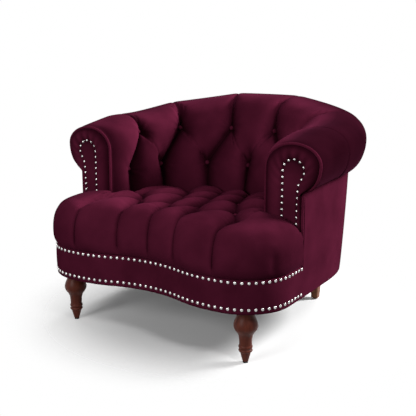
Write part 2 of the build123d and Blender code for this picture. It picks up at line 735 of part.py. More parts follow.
bolt_hole = Cylinder(BOLT_R + CLEAR, 2 * BOLT_LEG)
bolt = Cylinder(BOLT_R, BOLT_LEG + BOLT_BLOCK, align=(Align.CENTER, Align.CENTER, Align.MIN))
bolt = Pos(0, 0, BASE_Z - BOLT_LEG) * bolt
leg_top = BASE_Z - DUST_THICK
front_leg = turned_leg() - Pos(0, 0, leg_top) * bolt_hole
rear_leg = ruled([square(REAR_FOOT, GLIDE_H), square(REAR_TOP, leg_top)]) - Pos(0, 0, leg_top) * bolt_hole
glide = Cylinder(GLIDE_R, GLIDE_H, align=(Align.CENTER, Align.CENTER, Align.MIN))
block_box = Box(BLOCK, BLOCK, BLOCK_H, align=(Align.CENTER, Align.CENTER, Align.MIN))
feet = {"front": (FRONT_LEG, front_leg), "rear": (REAR_LEG, rear_leg)}
blocks, bolts, glides = [], [], []
for end, ((x, y), leg) in feet.items():
    spot = Pos(x, y, 0)
    block = inner_room & (Pos(x, y, BASE_Z) * block_box)
    hole = Pos(x, y, BASE_Z) * Cylinder(BOLT_R + CLEAR, 2 * BLOCK_H)
    block = block - base_back - base_side - hole
    for side, shape in zip(("right", "left"), both_sides(spot * leg)):
        save(end + "_leg_" + side, shape)
    blocks += both_sides(block)
    bolts += both_sides(spot * bolt)
    glides += both_sides(spot * glide)
    for copy in both_sides(hole):
        dust_cover = dust_cover - copy
        base_back = base_back - copy
        front_rail = front_rail - copy

save("corner_blocks", group(blocks))
save("leg_bolts", group(bolts))
save("leg_glides", group(glides))
save("front_rail", front_rail)
save("rear_rail", base_back)
save("front_border", front_border)
save("dust_cover", dust_cover)
save("seat_deck", seat_deck)
save("long_straps", group(long_straps))
save("cross_straps", group(cross_straps))
save("seat_foam", seat_foam)
save("seat_cover", seat_cover)
save("seat_buttons", group(seat_buttons))
save("back_posts", group(back_posts))
save("back_top_rail", back_rail)
save("back_roll_foam", back_core)
save("back_sheet", back_sheet)
save("inside_back", back_pad)
save("back_buttons", group(back_buttons))
save("outside_back", back_panel)
save("upper_nails", group(nail_row(UPPER_NAIL_Z)))
save("lower_nails", group(nail_row(LOWER_NAIL_Z)))
handed = {"side_rail": base_side, "arm_post": arm_post, "arm_top_rail": arm_rail, "arm_roll_foam": arm_core,
          "arm_sheet": arm_sheet, "inside_wing": wing_pad, "inside_arm": arm_pad, "outside_arm": arm_panel,
          "arm_facing": arm_facing, "arm_welt": arm_welt, "facing_nails": group(facing_nails)}
for node, shape in handed.items():
    for side, copy in zip(("right", "left"), both_sides(shape)):
        save(node + "_" + side, copy)
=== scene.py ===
import math
import bmesh
import bpy
import numpy as np
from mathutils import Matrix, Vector


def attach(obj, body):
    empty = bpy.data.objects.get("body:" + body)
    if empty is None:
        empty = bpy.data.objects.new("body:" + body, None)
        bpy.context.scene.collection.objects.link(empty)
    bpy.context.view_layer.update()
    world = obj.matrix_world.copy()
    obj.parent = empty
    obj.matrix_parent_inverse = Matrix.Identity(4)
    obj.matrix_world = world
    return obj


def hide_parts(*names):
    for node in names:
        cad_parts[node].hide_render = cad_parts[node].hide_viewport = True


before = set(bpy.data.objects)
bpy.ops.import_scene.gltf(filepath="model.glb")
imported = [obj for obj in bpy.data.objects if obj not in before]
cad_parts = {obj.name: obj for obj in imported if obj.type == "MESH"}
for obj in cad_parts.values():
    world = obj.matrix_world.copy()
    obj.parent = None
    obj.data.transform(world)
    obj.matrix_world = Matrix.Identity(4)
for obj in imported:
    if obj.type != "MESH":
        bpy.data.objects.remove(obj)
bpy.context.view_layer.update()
MM = 0.001

# Driving sizes in millimetres, shared with the solids
DEPTH = 891.0
ROLL_BACK = 508.0
FRONT_OVERHANG = 10.0
AXIS_Y = DEPTH / 2 - ROLL_BACK
BULGE_Y = FRONT_OVERHANG - DEPTH / 2
ARM_RUN = 150.0
FACING_Y = AXIS_Y - ARM_RUN
FACING_THICK = 14.0
POST_THICK = 24.0
ARM_END_RUN = ARM_RUN - FACING_THICK
ARM_END_Y = AXIS_Y - ARM_END_RUN
BASE_Z = 165.0
DECK_TOP = 268.0
SEAT_LINE = 395.0
PAD_INSIDE = 45.0
PAD_ROLL = 32.0
CLEAR = 0.3

# Distances from the axis at the arm front, the side, the corner and the middle of the back
INSIDE_LOW = (294.0, 289.0, 262.0, 240.0)
INSIDE_TOP = (296.0, 298.0, 328.0, 313.0)
CREST_R = (390.0, 390.0, 450.0, 424.0)
ROLL_R = (480.0, 480.0, 550.0, ROLL_BACK)
NOTCH_R = (427.0, 427.0, 485.0, 430.0)
BASE_R = (427.0, 424.0, 460.0, 390.0)

# Heights at the same places
CREST_Z = (633.0, 660.0, 695.0, 730.0)
ROLL_Z = (570.0, 585.0, 605.0, 625.0)
NOTCH_Z = (491.0, 498.0, 506.5, 515.0)
ROLL_RISE = 75.0


# Lines of points
def resample(points, count):
    """Evenly spaced points along a line of points."""
    points = np.asarray(points, float)
    s = np.r_[0.0, np.cumsum(np.linalg.norm(np.diff(points, axis=0), axis=1))]
    u = np.linspace(0.0, s[-1], count)
    return np.stack([np.interp(u, s, points[:, k]) for k in range(points.shape[1])], 1)


def rounded(points, passes):
    """Cut the corners of a line of points, its ends kept."""
    p = np.asarray(points, float)
    for k in range(passes):
        q = np.empty((2 * len(p), p.shape[1]))
        q[0], q[-1] = p[0], p[-1]
        q[1:-1:2] = p[:-1] * 0.75 + p[1:] * 0.25
        q[2:-1:2] = p[:-1] * 0.25 + p[1:] * 0.75
        p = q
    return p


def unit(v):
    return v / np.maximum(np.linalg.norm(v, axis=-1, keepdims=True), 1e-9)


def oval_arc(centre, radii, start, end, count, closed=False):
    """A round or oval arc between two angles in degrees; the last point only if closed."""
    a = np.radians(np.linspace(start, end, count, endpoint=closed))
    return centre + radii * np.stack([np.cos(a), np.sin(a)], 1)


def fill_between(keys, cells):
    """Values from key to key, each stretch in its number of cells."""
    out = []
    for a, b, n in zip(keys, keys[1:], cells):
        out += list(np.linspace(a, b, n, endpoint=False))
    return out + [keys[-1]]


def bisect(inside, high):
    """The largest value from 0 to high that is inside."""
    low = 0.0
    for k in range(40):
        middle = (low + high) / 2
        if inside(middle):
            low = middle
        else:
            high = middle
    return low


# Meshes
def new_object(name, data):
    ob = bpy.data.objects.new(name, data)
    bpy.context.collection.objects.link(ob)
    return ob


def mesh_object(name, verts, faces, sharp=75.0):
    """A smooth mesh from millimetres; bends over sharp degrees stay hard."""
    me = bpy.data.meshes.new(name)
    me.from_pydata([tuple(v) for v in np.asarray(verts) * MM], [], faces)
    me.polygons.foreach_set("use_smooth", [True] * len(me.polygons))
    me.set_sharp_from_angle(angle=math.radians(sharp))
    me.update()
    return new_object(name, me)


def set_painted_light(ob, values):
    """Painted light and shade on each point of a velvet piece, which scales its colour."""
    layer = ob.data.attributes.new("painted_light", "FLOAT", "POINT")
    layer.data.foreach_set("value", np.resize(np.asarray(values, np.float32), len(ob.data.vertices)))


def ring_faces(cols, rows):
    """Quads of closed rings of points, stored ring by ring."""
    faces = []
    for a in range(0, (cols - 1) * rows, rows):
        for j in range(rows):
            k = (j + 1) % rows
            faces.append((a + j, a + rows + j, a + rows + k, a + k))
    return faces


def turned_over(faces):
    return [tuple(reversed(f)) for f in faces]


def closed_tube(name, rings, flip=False, sharp=75.0):
    """A closed loft through rings of points, with flat ends."""
    cols, rows = rings.shape[:2]
    faces = ring_faces(cols, rows)
    faces.append(tuple(range(rows)))
    faces.append(tuple(range((cols - 1) * rows, cols * rows))[::-1])
    return mesh_object(name, rings.reshape(-1, 3), turned_over(faces) if flip else faces, sharp)


def grid_normals(p):
    """Normals of a grid, out of the upholstery."""
    return unit(np.cross(np.gradient(p, axis=0), np.gradient(p, axis=1)))


def soften(p, axis, passes):
    """Even out a grid along one axis, its ends kept."""
    q = np.swapaxes(p, 0, axis).copy()
    for k in range(passes):
        q[1:-1] = (q[:-2] + 2 * q[1:-1] + q[2:]) / 4
    return np.swapaxes(q, 0, axis)


# Blown covers; heights and depths are in millimetres, places and widths in cells
HOLD = 40.0
HOLD_REACH = 1.15
# Heights of a cover at which the painted shade of the folds and the painted light of the puffs are given
PAINTED_SHADE_HEIGHTS = [-28, -14, -3, 12]
GATHER_FROM = 7.0
GATHER_STEP = 9.0


class Cover:
    """A grid of cells, full between its folds and drawn down along them."""
    def __init__(self, cols, rows):
        self.cols, self.rows = np.mgrid[0:cols, 0:rows].astype(float)
        self.pull = np.zeros((cols, rows))
        self.depth = np.zeros((cols, rows))

    def along(self, start, end):
        """For each cell, the nearest place on a line, as a share of it, and the distance."""
        di, dj = end[0] - start[0], end[1] - start[1]
        i, j = self.cols - start[0], self.rows - start[1]
        share = np.clip((i * di + j * dj) / max(di * di + dj * dj, 1e-9), 0, 1)
        return share, np.hypot(i - share * di, j - share * dj)

    def fold(self, places):
        """A fold through places (column, row, depth)."""
        for start, end in zip(places, places[1:]):
            share, gap = self.along(start, end)
            pull = HOLD * np.clip(HOLD_REACH - gap, 0, 1)
            take = pull > self.pull
            self.pull = np.where(take, pull, self.pull)
            self.depth = np.where(take, start[2] + (end[2] - start[2]) * share, self.depth)

    def pleat(self, col, line):
        """A fold along one column, through (row, depth)."""
        self.fold([(col, row, depth) for row, depth in line])

    def seam(self, start, end, line):
        """A fold between two places, through (share of the way, depth)."""
        (c0, r0), (c1, r1) = start, end
        self.fold([(c0 + (c1 - c0) * s, r0 + (r1 - r0) * s, depth) for s, depth in line])

    def blow(self, full, spread, rounds):
        """Heights at rest; spread is the width over which a fold dies away."""
        k = 1.0 / spread ** 2
        h = full.copy()
        base = k * full + self.pull * self.depth
        share = 4 + k + self.pull
        for n in range(rounds):
            p = np.pad(h, 1, mode="edge")
            h = (p[:-2, 1:-1] + p[2:, 1:-1] + p[1:-1, :-2] + p[1:-1, 2:] + base) / share
        return h

    def crease(self, start, end, depth, width):
        """A thin line pressed in between two places, as depths."""
        return depth * np.exp(-(self.along(start, end)[1] / width) ** 2)


def gathers(p, place, size, reach, count, turn):
    """Small folds that run into a button within a reach, as heights."""
    i, j = int(round(place[0])), int(round(place[1]))
    a = unit(p[i + 1, j] - p[i - 1, j])
    b = unit(p[i, j + 1] - p[i, j - 1])
    d = p - p[i, j]
    far = np.linalg.norm(d, axis=2)
    ring = np.clip((far - GATHER_FROM) / GATHER_STEP, 0, 1)
    ring *= np.exp(-np.maximum(far - GATHER_STEP, 0) / reach)
    sway = 0.6 * np.sin(far / GATHER_STEP + turn)
    return size * ring * np.cos(count * np.arctan2(d @ b, d @ a) + turn + sway)


def painted_fold_light(height, shades, lit_side):
    """Painted light and shade: darker in the folds and lighter on the puffs, and lighter on slopes turned
    one way and darker on the others, as if lit from that side.
    """
    depth = np.interp(height, PAINTED_SHADE_HEIGHTS, shades)
    slope = -np.gradient(height, axis=0)
    return depth * (1 + lit_side * np.tanh(soften(slope, 0, 2) / 1.5))


# Horseshoe of the back and arms
FOOT_ROWS = 4
WALL_ROWS = 60
ROLL_ROWS = (32, 34, 30)
LINING_ROWS = (5, 5, 5)
CREST_ROW = FOOT_ROWS + WALL_ROWS + ROLL_ROWS[0]
SKIN_ROWS = CREST_ROW + ROLL_ROWS[1] + ROLL_ROWS[2]
LAST_ROW = SKIN_ROWS - 1
COVER_FOOT = DECK_TOP + 1
FOOT_TOP = SEAT_LINE - 25
LINING_IN = PAD_INSIDE - 1
LINING_ROLL = PAD_ROLL - 1


def size_at(sizes, theta, run):
    """A distance or height, at an angle in degrees or at a run along the arm."""
    front, side, corner, back = sizes
    if run > 0:
        return side + (front - side) * run / ARM_RUN
    t = math.radians(theta)
    middle = (back + side) / 2
    swing = (back - side) / 2 * math.cos(2 * t)
    return (middle + corner) / 2 + swing + (middle - corner) / 2 * math.cos(4 * t)


class Station:
    """One section of the horseshoe; its points are (distance from the axis, height)."""
    def __init__(self, theta, run):
        self.theta, self.run = theta, run
        reaches = (INSIDE_LOW, INSIDE_TOP, CREST_R, ROLL_R, NOTCH_R, BASE_R)
        reaches = [size_at(d, theta, run) for d in reaches]
        self.r_low, self.r_top, self.r_crest, self.r_roll, self.r_notch, self.r_base = reaches
        heights = [size_at(d, theta, run) for d in (CREST_Z, ROLL_Z, NOTCH_Z)]
        self.z_crest, self.z_roll, self.z_notch = heights
        self.z_rise = self.z_crest - ROLL_RISE

    def place(self, rz):
        """Points of the section in the chair."""
        t = math.radians(self.theta)
        r, z = rz[:, 0], rz[:, 1]
        return np.stack([r * math.sin(t), AXIS_Y + r * math.cos(t) - self.run, z], 1)

    def inside_r(self, z, pad):
        share = np.clip((z - SEAT_LINE) / (self.z_rise - SEAT_LINE), 0, 1)
        return self.r_low + pad + (self.r_top - self.r_low) * share

    def panel_r(self, z):
        return self.r_base + (self.r_notch - self.r_base) * (z - BASE_Z) / (self.z_notch - BASE_Z)

    def roll(self, pad_in, pad, end_r, counts):
        """Over the roll, from the rise on the inside to the underside."""
        top = self.z_crest - pad
        out = self.r_roll - pad
        inner = (self.r_crest - self.r_top - pad_in, top - self.z_rise)
        outer = (out - self.r_crest, top - self.z_roll)
        under = (out - end_r, self.z_roll - self.z_notch - pad)
        arcs = [oval_arc((self.r_crest, self.z_rise), inner, 180, 90, counts[0]),
                oval_arc((self.r_crest, self.z_roll), outer, 90, 0, counts[1]),
                oval_arc((end_r, self.z_roll), under, 0, -90, counts[2], True)]
        return np.vstack(arcs)

    def skin(self):
        """Face of the cover, from the foot to the underside of the roll."""
        foot = np.linspace(COVER_FOOT, FOOT_TOP, FOOT_ROWS, endpoint=False)
        wall = np.linspace(FOOT_TOP, self.z_rise, WALL_ROWS, endpoint=False)
        z = np.r_[foot, wall]
        inside = np.stack([self.inside_r(z, 0.0), z], 1)
        return np.vstack([inside, self.roll(0.0, 0.0, self.r_notch, ROLL_ROWS)])

    def lining(self):
        """Back of the cover, from the underside of the roll to the foot."""
        over = self.roll(LINING_IN, LINING_ROLL, self.r_notch, LINING_ROWS)[::-1]
        down_r = self.r_low + LINING_IN
        return np.vstack([over, [(down_r, SEAT_LINE), (down_r, COVER_FOOT)]])


# Columns of the horseshoe: pleats round the back, then the corner and the run of the arm
TUFT_STEP = 33.0
ARM_BUTTON_RUN = 30.0
ARM_PLEAT = 6
PLEAT_CELLS = 32
CORNER_CELLS = 15
BUTTON_CELLS = 7
END_CELLS = 25
ROUND_CELLS = PLEAT_CELLS * (ARM_PLEAT - 1)

angle_keys = [TUFT_STEP / 2 * k for k in range(ARM_PLEAT)] + [90.0]
angles = fill_between(angle_keys, [PLEAT_CELLS] * (ARM_PLEAT - 1) + [CORNER_CELLS])
runs = fill_between([0.0, ARM_BUTTON_RUN, ARM_END_RUN + 1], [BUTTON_CELLS, END_CELLS])
right_half = [(t, 0.0) for t in angles] + [(90.0, r) for r in runs[1:]]
stations = [Station(-t, r) for t, r in right_half[:0:-1]] + [Station(t, r) for t, r in right_half]
MID = len(right_half) - 1
sections = [s.skin() for s in stations]
base = np.stack([s.place(rz) for s, rz in zip(stations, sections)])
base = soften(soften(base, 1, 14), 0, 14)
normals = grid_normals(base)


def back_column(k):
    """Column of the pleat number k from the middle; the last one is on the arm."""
    cells = PLEAT_CELLS * abs(k)
    if abs(k) == ARM_PLEAT:
        cells = ROUND_CELLS + CORNER_CELLS + BUTTON_CELLS
    return MID + (cells if k >= 0 else -cells)


def row_at(col, z):
    """Row of a height on the inside of one column."""
    return float(np.interp(z, sections[col][:CREST_ROW, 1], np.arange(CREST_ROW)))


SEAM = back_column(3)
SEAM_L = back_column(-3)

# Tufts of the back; a crease is its depth and width, gathers are their size, reach and number
UPPER_BUTTON_Z = 607.0
LOWER_BUTTON_Z = 480.0
BACK_DIP = -24.0
ROLL_DIP = -1.8
EDGE_DIP = -0.2
END_DIP = -2.0
PUFF = 34.0
WALL_TOP = CREST_ROW - 38
PUFF_TOP = CREST_ROW - 6
CREASE_TURN = CREST_ROW - 8
CREASE_END = LAST_ROW - 8
DEEP_FOLDS = (((0, BACK_DIP), (0.14, -19), (0.5, -15), (0.86, -19), (1, BACK_DIP)),)
FAINT_FOLDS = (((0, BACK_DIP), (0.1, -14), (0.2, -3)), ((0.8, -3), (0.9, -14), (1, BACK_DIP)))
UPPER_CREASE = (2.4, 0.8)
ROLL_CREASE = (1.8, 0.8)
FAN_CREASE = (3.0, 0.8)
LOWER_CREASE = (3.0, 1.0)
DEEP_CREASE = (4.0, 1.2)
FAINT_CREASE = (1.6, 1.1)
BACK_GATHERS = (2.2, 24, 8)

# Ends of the creases that fan out above an upper button, from it, by the number of its pleat
FANS = {
    1: ((-3, 26), (4, 20), (7, 14)),
    3: ((-7, 24), (-4, 27), (4, 25), (7, 18)),
    5: ((-4, 22), (5, 18)),
}
# Drag lines below a button: both ends from it, depth and width
UPPER_DRAGS = (((2, -3), (10, -14), 2.8, 0.75), ((5, -3), (12, -11), 2.2, 0.75))
LOWER_DRAGS = (((-1, -3), (-5, -22), 1.8, 0.9), ((1, -3), (4, -16), 1.5, 0.9))

# Midway between two pleats the roll lies lower by this much, so that it runs straight between them
CHORD = 5.0


def drags(col, row, lines, toward):
    """Drag lines at a button, turned toward one side."""
    out = []
    for (a, b), (c, d), *crease in lines:
        out.append(((col + a * toward, row + b), (col + c * toward, row + d), *crease))
    return out


cover = Cover(len(stations), SKIN_ROWS)
back_spots = []
creases = []
for k in range(-ARM_PLEAT, ARM_PLEAT + 1):
    col = back_column(k)
    if k % 2:
        row = row_at(col, UPPER_BUTTON_Z)
        cover.pleat(col, [(row, BACK_DIP), (row + 5, -14), (CREST_ROW - 14, -4.5), (CREST_ROW, ROLL_DIP),
                          (LAST_ROW - 10, ROLL_DIP), (LAST_ROW, EDGE_DIP)])
        creases.append(((col, row), (col, CREASE_TURN), *UPPER_CREASE))
        creases.append(((col, CREASE_TURN), (col, CREASE_END), *ROLL_CREASE))
        for swing, rise in FANS[abs(k)]:
            start = (col + math.copysign(0.5, swing), row + 4)
            creases.append((start, (col + swing, row + rise), *FAN_CREASE))
        creases += drags(col, row, UPPER_DRAGS, 1 if k < 0 else -1)
    else:
        row = row_at(col, LOWER_BUTTON_Z)
        cover.pleat(col, [(row, BACK_DIP), (row - 6, -18), (row - 16, -15), (0, -12)])
        creases.append(((col, row), (col, 2), *LOWER_CREASE))
        creases += drags(col, row, LOWER_DRAGS, 1)
    back_spots.append((col, row))
for n, (start, end) in enumerate(zip(back_spots, back_spots[1:])):
    outward = (n % 2 == 0) == (n < ARM_PLEAT)
    creases.append((start, end, *(DEEP_CREASE if outward else FAINT_CREASE)))
    for line in DEEP_FOLDS if outward else FAINT_FOLDS:
        cover.seam(start, end, line)
last_col = len(stations) - 1
for col in (0, last_col):
    cover.pleat(col, [(0, END_DIP), (LAST_ROW - 6, END_DIP), (LAST_ROW, EDGE_DIP)])
cover.fold([(0, LAST_ROW, EDGE_DIP), (last_col, LAST_ROW, EDGE_DIP)])

full_rows = [0, FOOT_ROWS, FOOT_ROWS + 16, WALL_TOP, PUFF_TOP]
full = np.interp(cover.rows, full_rows, [0.0, 4.0, PUFF, PUFF, 0.5])
spread = np.interp(cover.rows, [WALL_TOP, PUFF_TOP], [9.5, 1.5])
lift = cover.blow(full, spread, 1500)
from_pleat = np.abs((cover.cols - MID) / PLEAT_CELLS % 2 - 1)
straight = np.interp(cover.rows, [CREST_ROW - 26, CREST_ROW, LAST_ROW - 20, LAST_ROW], [0, 1, 1, 0])
flat = CHORD * straight * (1 - (1 - from_pleat) ** 2)
lift -= np.where(np.abs(cover.cols - MID) < ROUND_CELLS, flat, 0.0)
for line in creases:
    lift -= cover.crease(*line)
for n, spot in enumerate(back_spots):
    lift += gathers(base, spot, *BACK_GATHERS, 1.7 * n)
skin = base + normals * lift[..., None]
lining = np.stack([s.place(s.lining()) for s in stations])
back_cover = closed_tube("back_and_arms_cover", np.concatenate([skin, lining], 1))

# Painted light and shade on the back: painted shade in the folds and highlight on the puffs, side light
# painted on the slopes, and painted shade near the seat and past the crest, which comes later on the left
# arm and sooner on the right
BACK_SHADES = [0.12, 0.36, 0.76, 1.10]
BACK_SIDE_LIGHT = 0.55
ROLL_SHADE = 0.32
FOOT_SHADE = 0.66
LINING_SHADE = 0.34
LATER_LEFT = 9
SOONER_RIGHT = 5
past_crest = cover.rows - CREST_ROW - np.where(cover.cols < back_column(-5), LATER_LEFT, 0)
past_crest += np.where(cover.cols > SEAM, SOONER_RIGHT, 0)
over = np.interp(past_crest, [-6, 4], [1.0, ROLL_SHADE])
over *= np.interp(cover.rows, [8, 46], [FOOT_SHADE, 1.0])
back_painted_light = over * painted_fold_light(lift, BACK_SHADES, BACK_SIDE_LIGHT)
# the lining gets about the same painted shade as the roll past the crest
lining_painted_shade = np.full(lining.shape[:2], LINING_SHADE)
set_painted_light(back_cover, np.concatenate([back_painted_light, lining_painted_shade], 1).ravel())

# Serpentine front line: a hollow in the middle, a bulge and a corner on each side
FRONT_BULGE_X = 250.0
FRONT_DENT = 41.0
FRONT_CORNER_R = 150.0
SIDE_X = NOTCH_R[0]
WAVE_R = (FRONT_BULGE_X ** 2 + FRONT_DENT ** 2) / (4 * FRONT_DENT)
HOLLOW = np.array([0.0, BULGE_Y + FRONT_DENT - WAVE_R])
BULGE = np.array([FRONT_BULGE_X, BULGE_Y + WAVE_R])
CORNER_X = SIDE_X - FRONT_CORNER_R
CORNER_DROP = math.sqrt((WAVE_R - FRONT_CORNER_R) ** 2 - (CORNER_X - FRONT_BULGE_X) ** 2)
CORNER = np.array([CORNER_X, BULGE[1] - CORNER_DROP])
WAVE_DIR = unit(BULGE - HOLLOW)
TURN_DIR = unit(CORNER - BULGE)


def front_arc(centre, radius, start, end):
    """A round arc between two directions."""
    a0, a1 = [math.degrees(math.atan2(y, x)) for x, y in (start, end)]
    return oval_arc(centre, radius, a0, a1, 60, True)


def front_path(off):
    """The front line from the left arm to the right, moved outward by off."""
    hollow = front_arc(HOLLOW, WAVE_R - off, (0, 1), WAVE_DIR)
    bulge = front_arc(BULGE, WAVE_R + off, -WAVE_DIR, TURN_DIR)
    corner = front_arc(CORNER, FRONT_CORNER_R + off, TURN_DIR, (1, 0))
    right = np.vstack([hollow, bulge[1:], corner[1:], [(SIDE_X + off, ARM_END_Y)]])
    return np.vstack([right[:0:-1] * (-1, 1), right])


def front_y(x, off):
    """Place of the front line, moved outward by off."""
    x = abs(x)
    wave_x = (HOLLOW + WAVE_DIR * (WAVE_R - off))[0]
    turn_x = (BULGE + TURN_DIR * (WAVE_R + off))[0]
    if x <= wave_x:
        return HOLLOW[1] + math.sqrt((WAVE_R - off) ** 2 - x * x)
    if x <= turn_x:
        return BULGE[1] - math.sqrt((WAVE_R + off) ** 2 - (x - BULGE[0]) ** 2)
    return CORNER[1] - math.sqrt(max(0.0, (FRONT_CORNER_R + off) ** 2 - (x - CORNER[0]) ** 2))


# Seat: a stem between the arms and an ear in front of each arm, turned about its pivot
STEM_EDGE = INSIDE_LOW[1] - 2 * CLEAR
EAR_PIVOT = np.array([STEM_EDGE, FACING_Y - 0.5])
SEAT_FLOOR = DECK_TOP + 0.5
SEAT_WALL = 64.0
CORE_TOP = 345.0
CROWN_Z = 420.0
CROWN_Y = -308.0
CROWN_FALL = 14.0
EAR_FALL = 19.0
SEAT_BACK_Z = 388.0
FACE_ROWS = 46
FORE_ROWS = 44
AFT_ROWS = 92
PIVOT_ROW = FACE_ROWS + FORE_ROWS
SEAT_ROWS = PIVOT_ROW + AFT_ROWS + 1

# Shares by which the shoulder and the face of an ear get flatter toward its side
EAR_SHOULDER = 0.35
EAR_FACE = 0.4

# Face of the seat: outward of the front line, and share of the height
FACE_HEIGHT = 140.0
FACE = ((-1, 0), (4, 0.04), (8, 0.12), (10, 0.27), (9.5, 0.45), (6, 0.62), (-2, 0.78), (-15, 0.90),
        (-32, 0.975), (-54, 1.0))
face_line = rounded([(off, share * FACE_HEIGHT) for off, share in FACE], 4)
face_line = resample(face_line, FACE_ROWS + 1) / np.array([1.0, FACE_HEIGHT])


def seat_back_y(x):
    """Where the seat ends at the foot of the back."""
    theta = bisect(lambda t: size_at(INSIDE_LOW, t, 0.0) * math.sin(math.radians(t)) < x, 90.0)
    return AXIS_Y + size_at(INSIDE_LOW, theta, 0.0) * math.cos(math.radians(theta)) - 1


def crown(x, y, back_y=0.0):
    """Top of the seat before tufting."""
    side = abs(x)
    if side <= STEM_EDGE:
        top = CROWN_Z - CROWN_FALL * (side / STEM_EDGE) ** 2
        share = max(0.0, (y - CROWN_Y) / (back_y - CROWN_Y))
        return top + (SEAT_BACK_Z - top) * share ** 2
    share = min(1.0, (side - STEM_EDGE) / (SIDE_X - STEM_EDGE))
    return CROWN_Z - CROWN_FALL - EAR_FALL * share ** 1.3


def ear_reach(way, off):
    """Distance from the pivot of the ear to the front line, moved outward by off."""
    def inside(far):
        x, y = EAR_PIVOT + way * far
        return x < SIDE_X + off and (y > CORNER[1] or y > front_y(x, off))

    return bisect(inside, 400.0)


def ear_column(phi):
    """One column of an ear: up the face, over the shoulder and on to the pivot."""
    way = np.array([math.sin(phi), -math.cos(phi)])
    shoulder = 1 - EAR_SHOULDER * math.sin(phi)
    face = 1 - EAR_FACE * math.sin(phi)
    rim = EAR_PIVOT + way * ear_reach(way, face_line[-1, 0] * shoulder)
    rise = crown(*rim) - SEAT_FLOOR
    pts = []
    for off, share in face_line:
        x, y = EAR_PIVOT + way * ear_reach(way, off * (shoulder if off < 0 else face))
        pts.append((x, y, SEAT_FLOOR + rise * share))
    for k in range(1, FORE_ROWS + 1):
        x, y = rim + (EAR_PIVOT - rim) * k / FORE_ROWS
        pts.append((x, y, crown(x, y)))
    return pts + [pts[-1]] * AFT_ROWS


def stem_column(x):
    """One column between the arms: up the face, over the shoulder and to the back."""
    back_y = seat_back_y(abs(x))
    rim = front_y(x, face_line[-1, 0])
    rise = crown(x, rim, back_y) - SEAT_FLOOR
    pts = [(x, front_y(x, off), SEAT_FLOOR + rise * share) for off, share in face_line]
    for y in fill_between([rim, EAR_PIVOT[1], back_y], [FORE_ROWS, AFT_ROWS])[1:]:
        pts.append((x, y, crown(x, y, back_y)))
    return pts


# Columns of the seat; the named distances from the middle are those of the buttons
EAR_COLS = 60
INNER_X = 52.5
PANEL_X = 105.0
OUTER_X = 181.5
EDGE_X = 258.0
x_half = fill_between([0.0, INNER_X, PANEL_X, OUTER_X, EDGE_X, STEM_EDGE], [13, 13, 20, 20, 8])
phis = [math.pi / 2 * k / EAR_COLS for k in range(1, EAR_COLS + 1)]
right_cols = np.array([stem_column(x) for x in x_half] + [ear_column(phi) for phi in phis])
seat_base = np.vstack([right_cols[:0:-1] * (-1, 1, 1), right_cols])
seat_base = soften(seat_base, 1, 6)
SEAT_MID = len(right_cols) - 1
STEM_HALF = len(x_half) - 1
FIRST_STEM = SEAT_MID - STEM_HALF
LAST_STEM = SEAT_MID + STEM_HALF

# Edges that tuck down beside the arms, the facings and the back
EAR_TUCK = 8.0
STEM_TUCK = 20.0
TUCK_REACH = 14.0
TUCK_ROW = FACE_ROWS - 13
sx, sy = np.abs(seat_base[..., 0]), seat_base[..., 1]
gap_arm = np.hypot(np.maximum(0, STEM_EDGE - sx), np.maximum(0, FACING_Y - sy))
turn = np.degrees(np.arctan2(sx, np.maximum(sy - AXIS_Y, 1e-6)))
inside_line = np.interp(turn, angles, [size_at(INSIDE_LOW, t, 0.0) for t in angles])
gap_back = np.where(sy > AXIS_Y, inside_line - np.hypot(sx, sy - AXIS_Y), np.inf)
gap = np.maximum(np.minimum(gap_arm, gap_back), 0)
tuck = np.where(sx > STEM_EDGE, EAR_TUCK, STEM_TUCK) * np.exp(-(gap / TUCK_REACH) ** 1.3)
tuck[:, :TUCK_ROW] = 0.0

# Tufts of the seat; the first and the last row of buttons are counted from the front and the back
FIRST_ROW = 125.5
REAR_ROW = 45.0
WIDE_ROW = (0.0, PANEL_X, EDGE_X)
NARROW_ROW = (INNER_X, OUTER_X)
BUTTON_ROWS = (WIDE_ROW, NARROW_ROW, WIDE_ROW, NARROW_ROW)
SEAM_REACH = 80.0
SEAT_DIP = -30.0
FRONT_DIP = -36.0
EAR_PLEAT = 27
FRONT_CREASE = (5.0, 0.7)
FRONT_FAN = ((-4, 16), (0, 20), (4, 15))
FRONT_FAN_CREASE = (2.6, 0.8)
SEAM_CREASE = (3.5, 0.9)
SEAT_GATHERS = (2.8, 20, 7)
SHOULDER_ROWS = [FACE_ROWS - 12, FACE_ROWS + 8]

seat = Cover(len(seat_base), SEAT_ROWS)
last = len(BUTTON_ROWS) - 1
first_y = BULGE_Y + FIRST_ROW
spots = {}
for n, xs in enumerate(BUTTON_ROWS):
    for x in xs:
        y = first_y + (seat_back_y(x) - REAR_ROW - first_y) * n / last
        for side in (1, -1):
            col = SEAT_MID + side * x_half.index(x)
            row = np.interp(y, seat_base[col, FACE_ROWS:, 1], np.arange(FACE_ROWS, SEAT_ROWS))
            spots[(n, side * x)] = (col, float(row))
for (n, x), (col, row) in spots.items():
    if n == 0:
        seat.pleat(col, [(row, FRONT_DIP), (row - 4, -27), (row - 12, -14), (FACE_ROWS - 8, -5), (0, -3)])
    if n == last:
        seat.pleat(col, [(row, SEAT_DIP), (row + 4, -20), (SEAT_ROWS - 1, -16)])
seams = []
for (n, x), start in spots.items():
    for (m, w), end in spots.items():
        if m == n + 1 and abs(w - x) < SEAM_REACH:
            dip = FRONT_DIP if n == 0 else SEAT_DIP
            seat.seam(start, end, ((0, dip), (0.14, -20), (0.5, -14), (0.86, -20), (1, SEAT_DIP)))
            seams.append((start, end))
for side in (1, -1):
    seat.pleat(SEAT_MID + side * (STEM_HALF + EAR_PLEAT), [(0, -2), (18, -2), (28, 2.5)])
full = np.interp(seat.rows, SHOULDER_ROWS, [2.0, 20.0])
spread = np.interp(seat.rows, SHOULDER_ROWS, [2.3, 7.0])
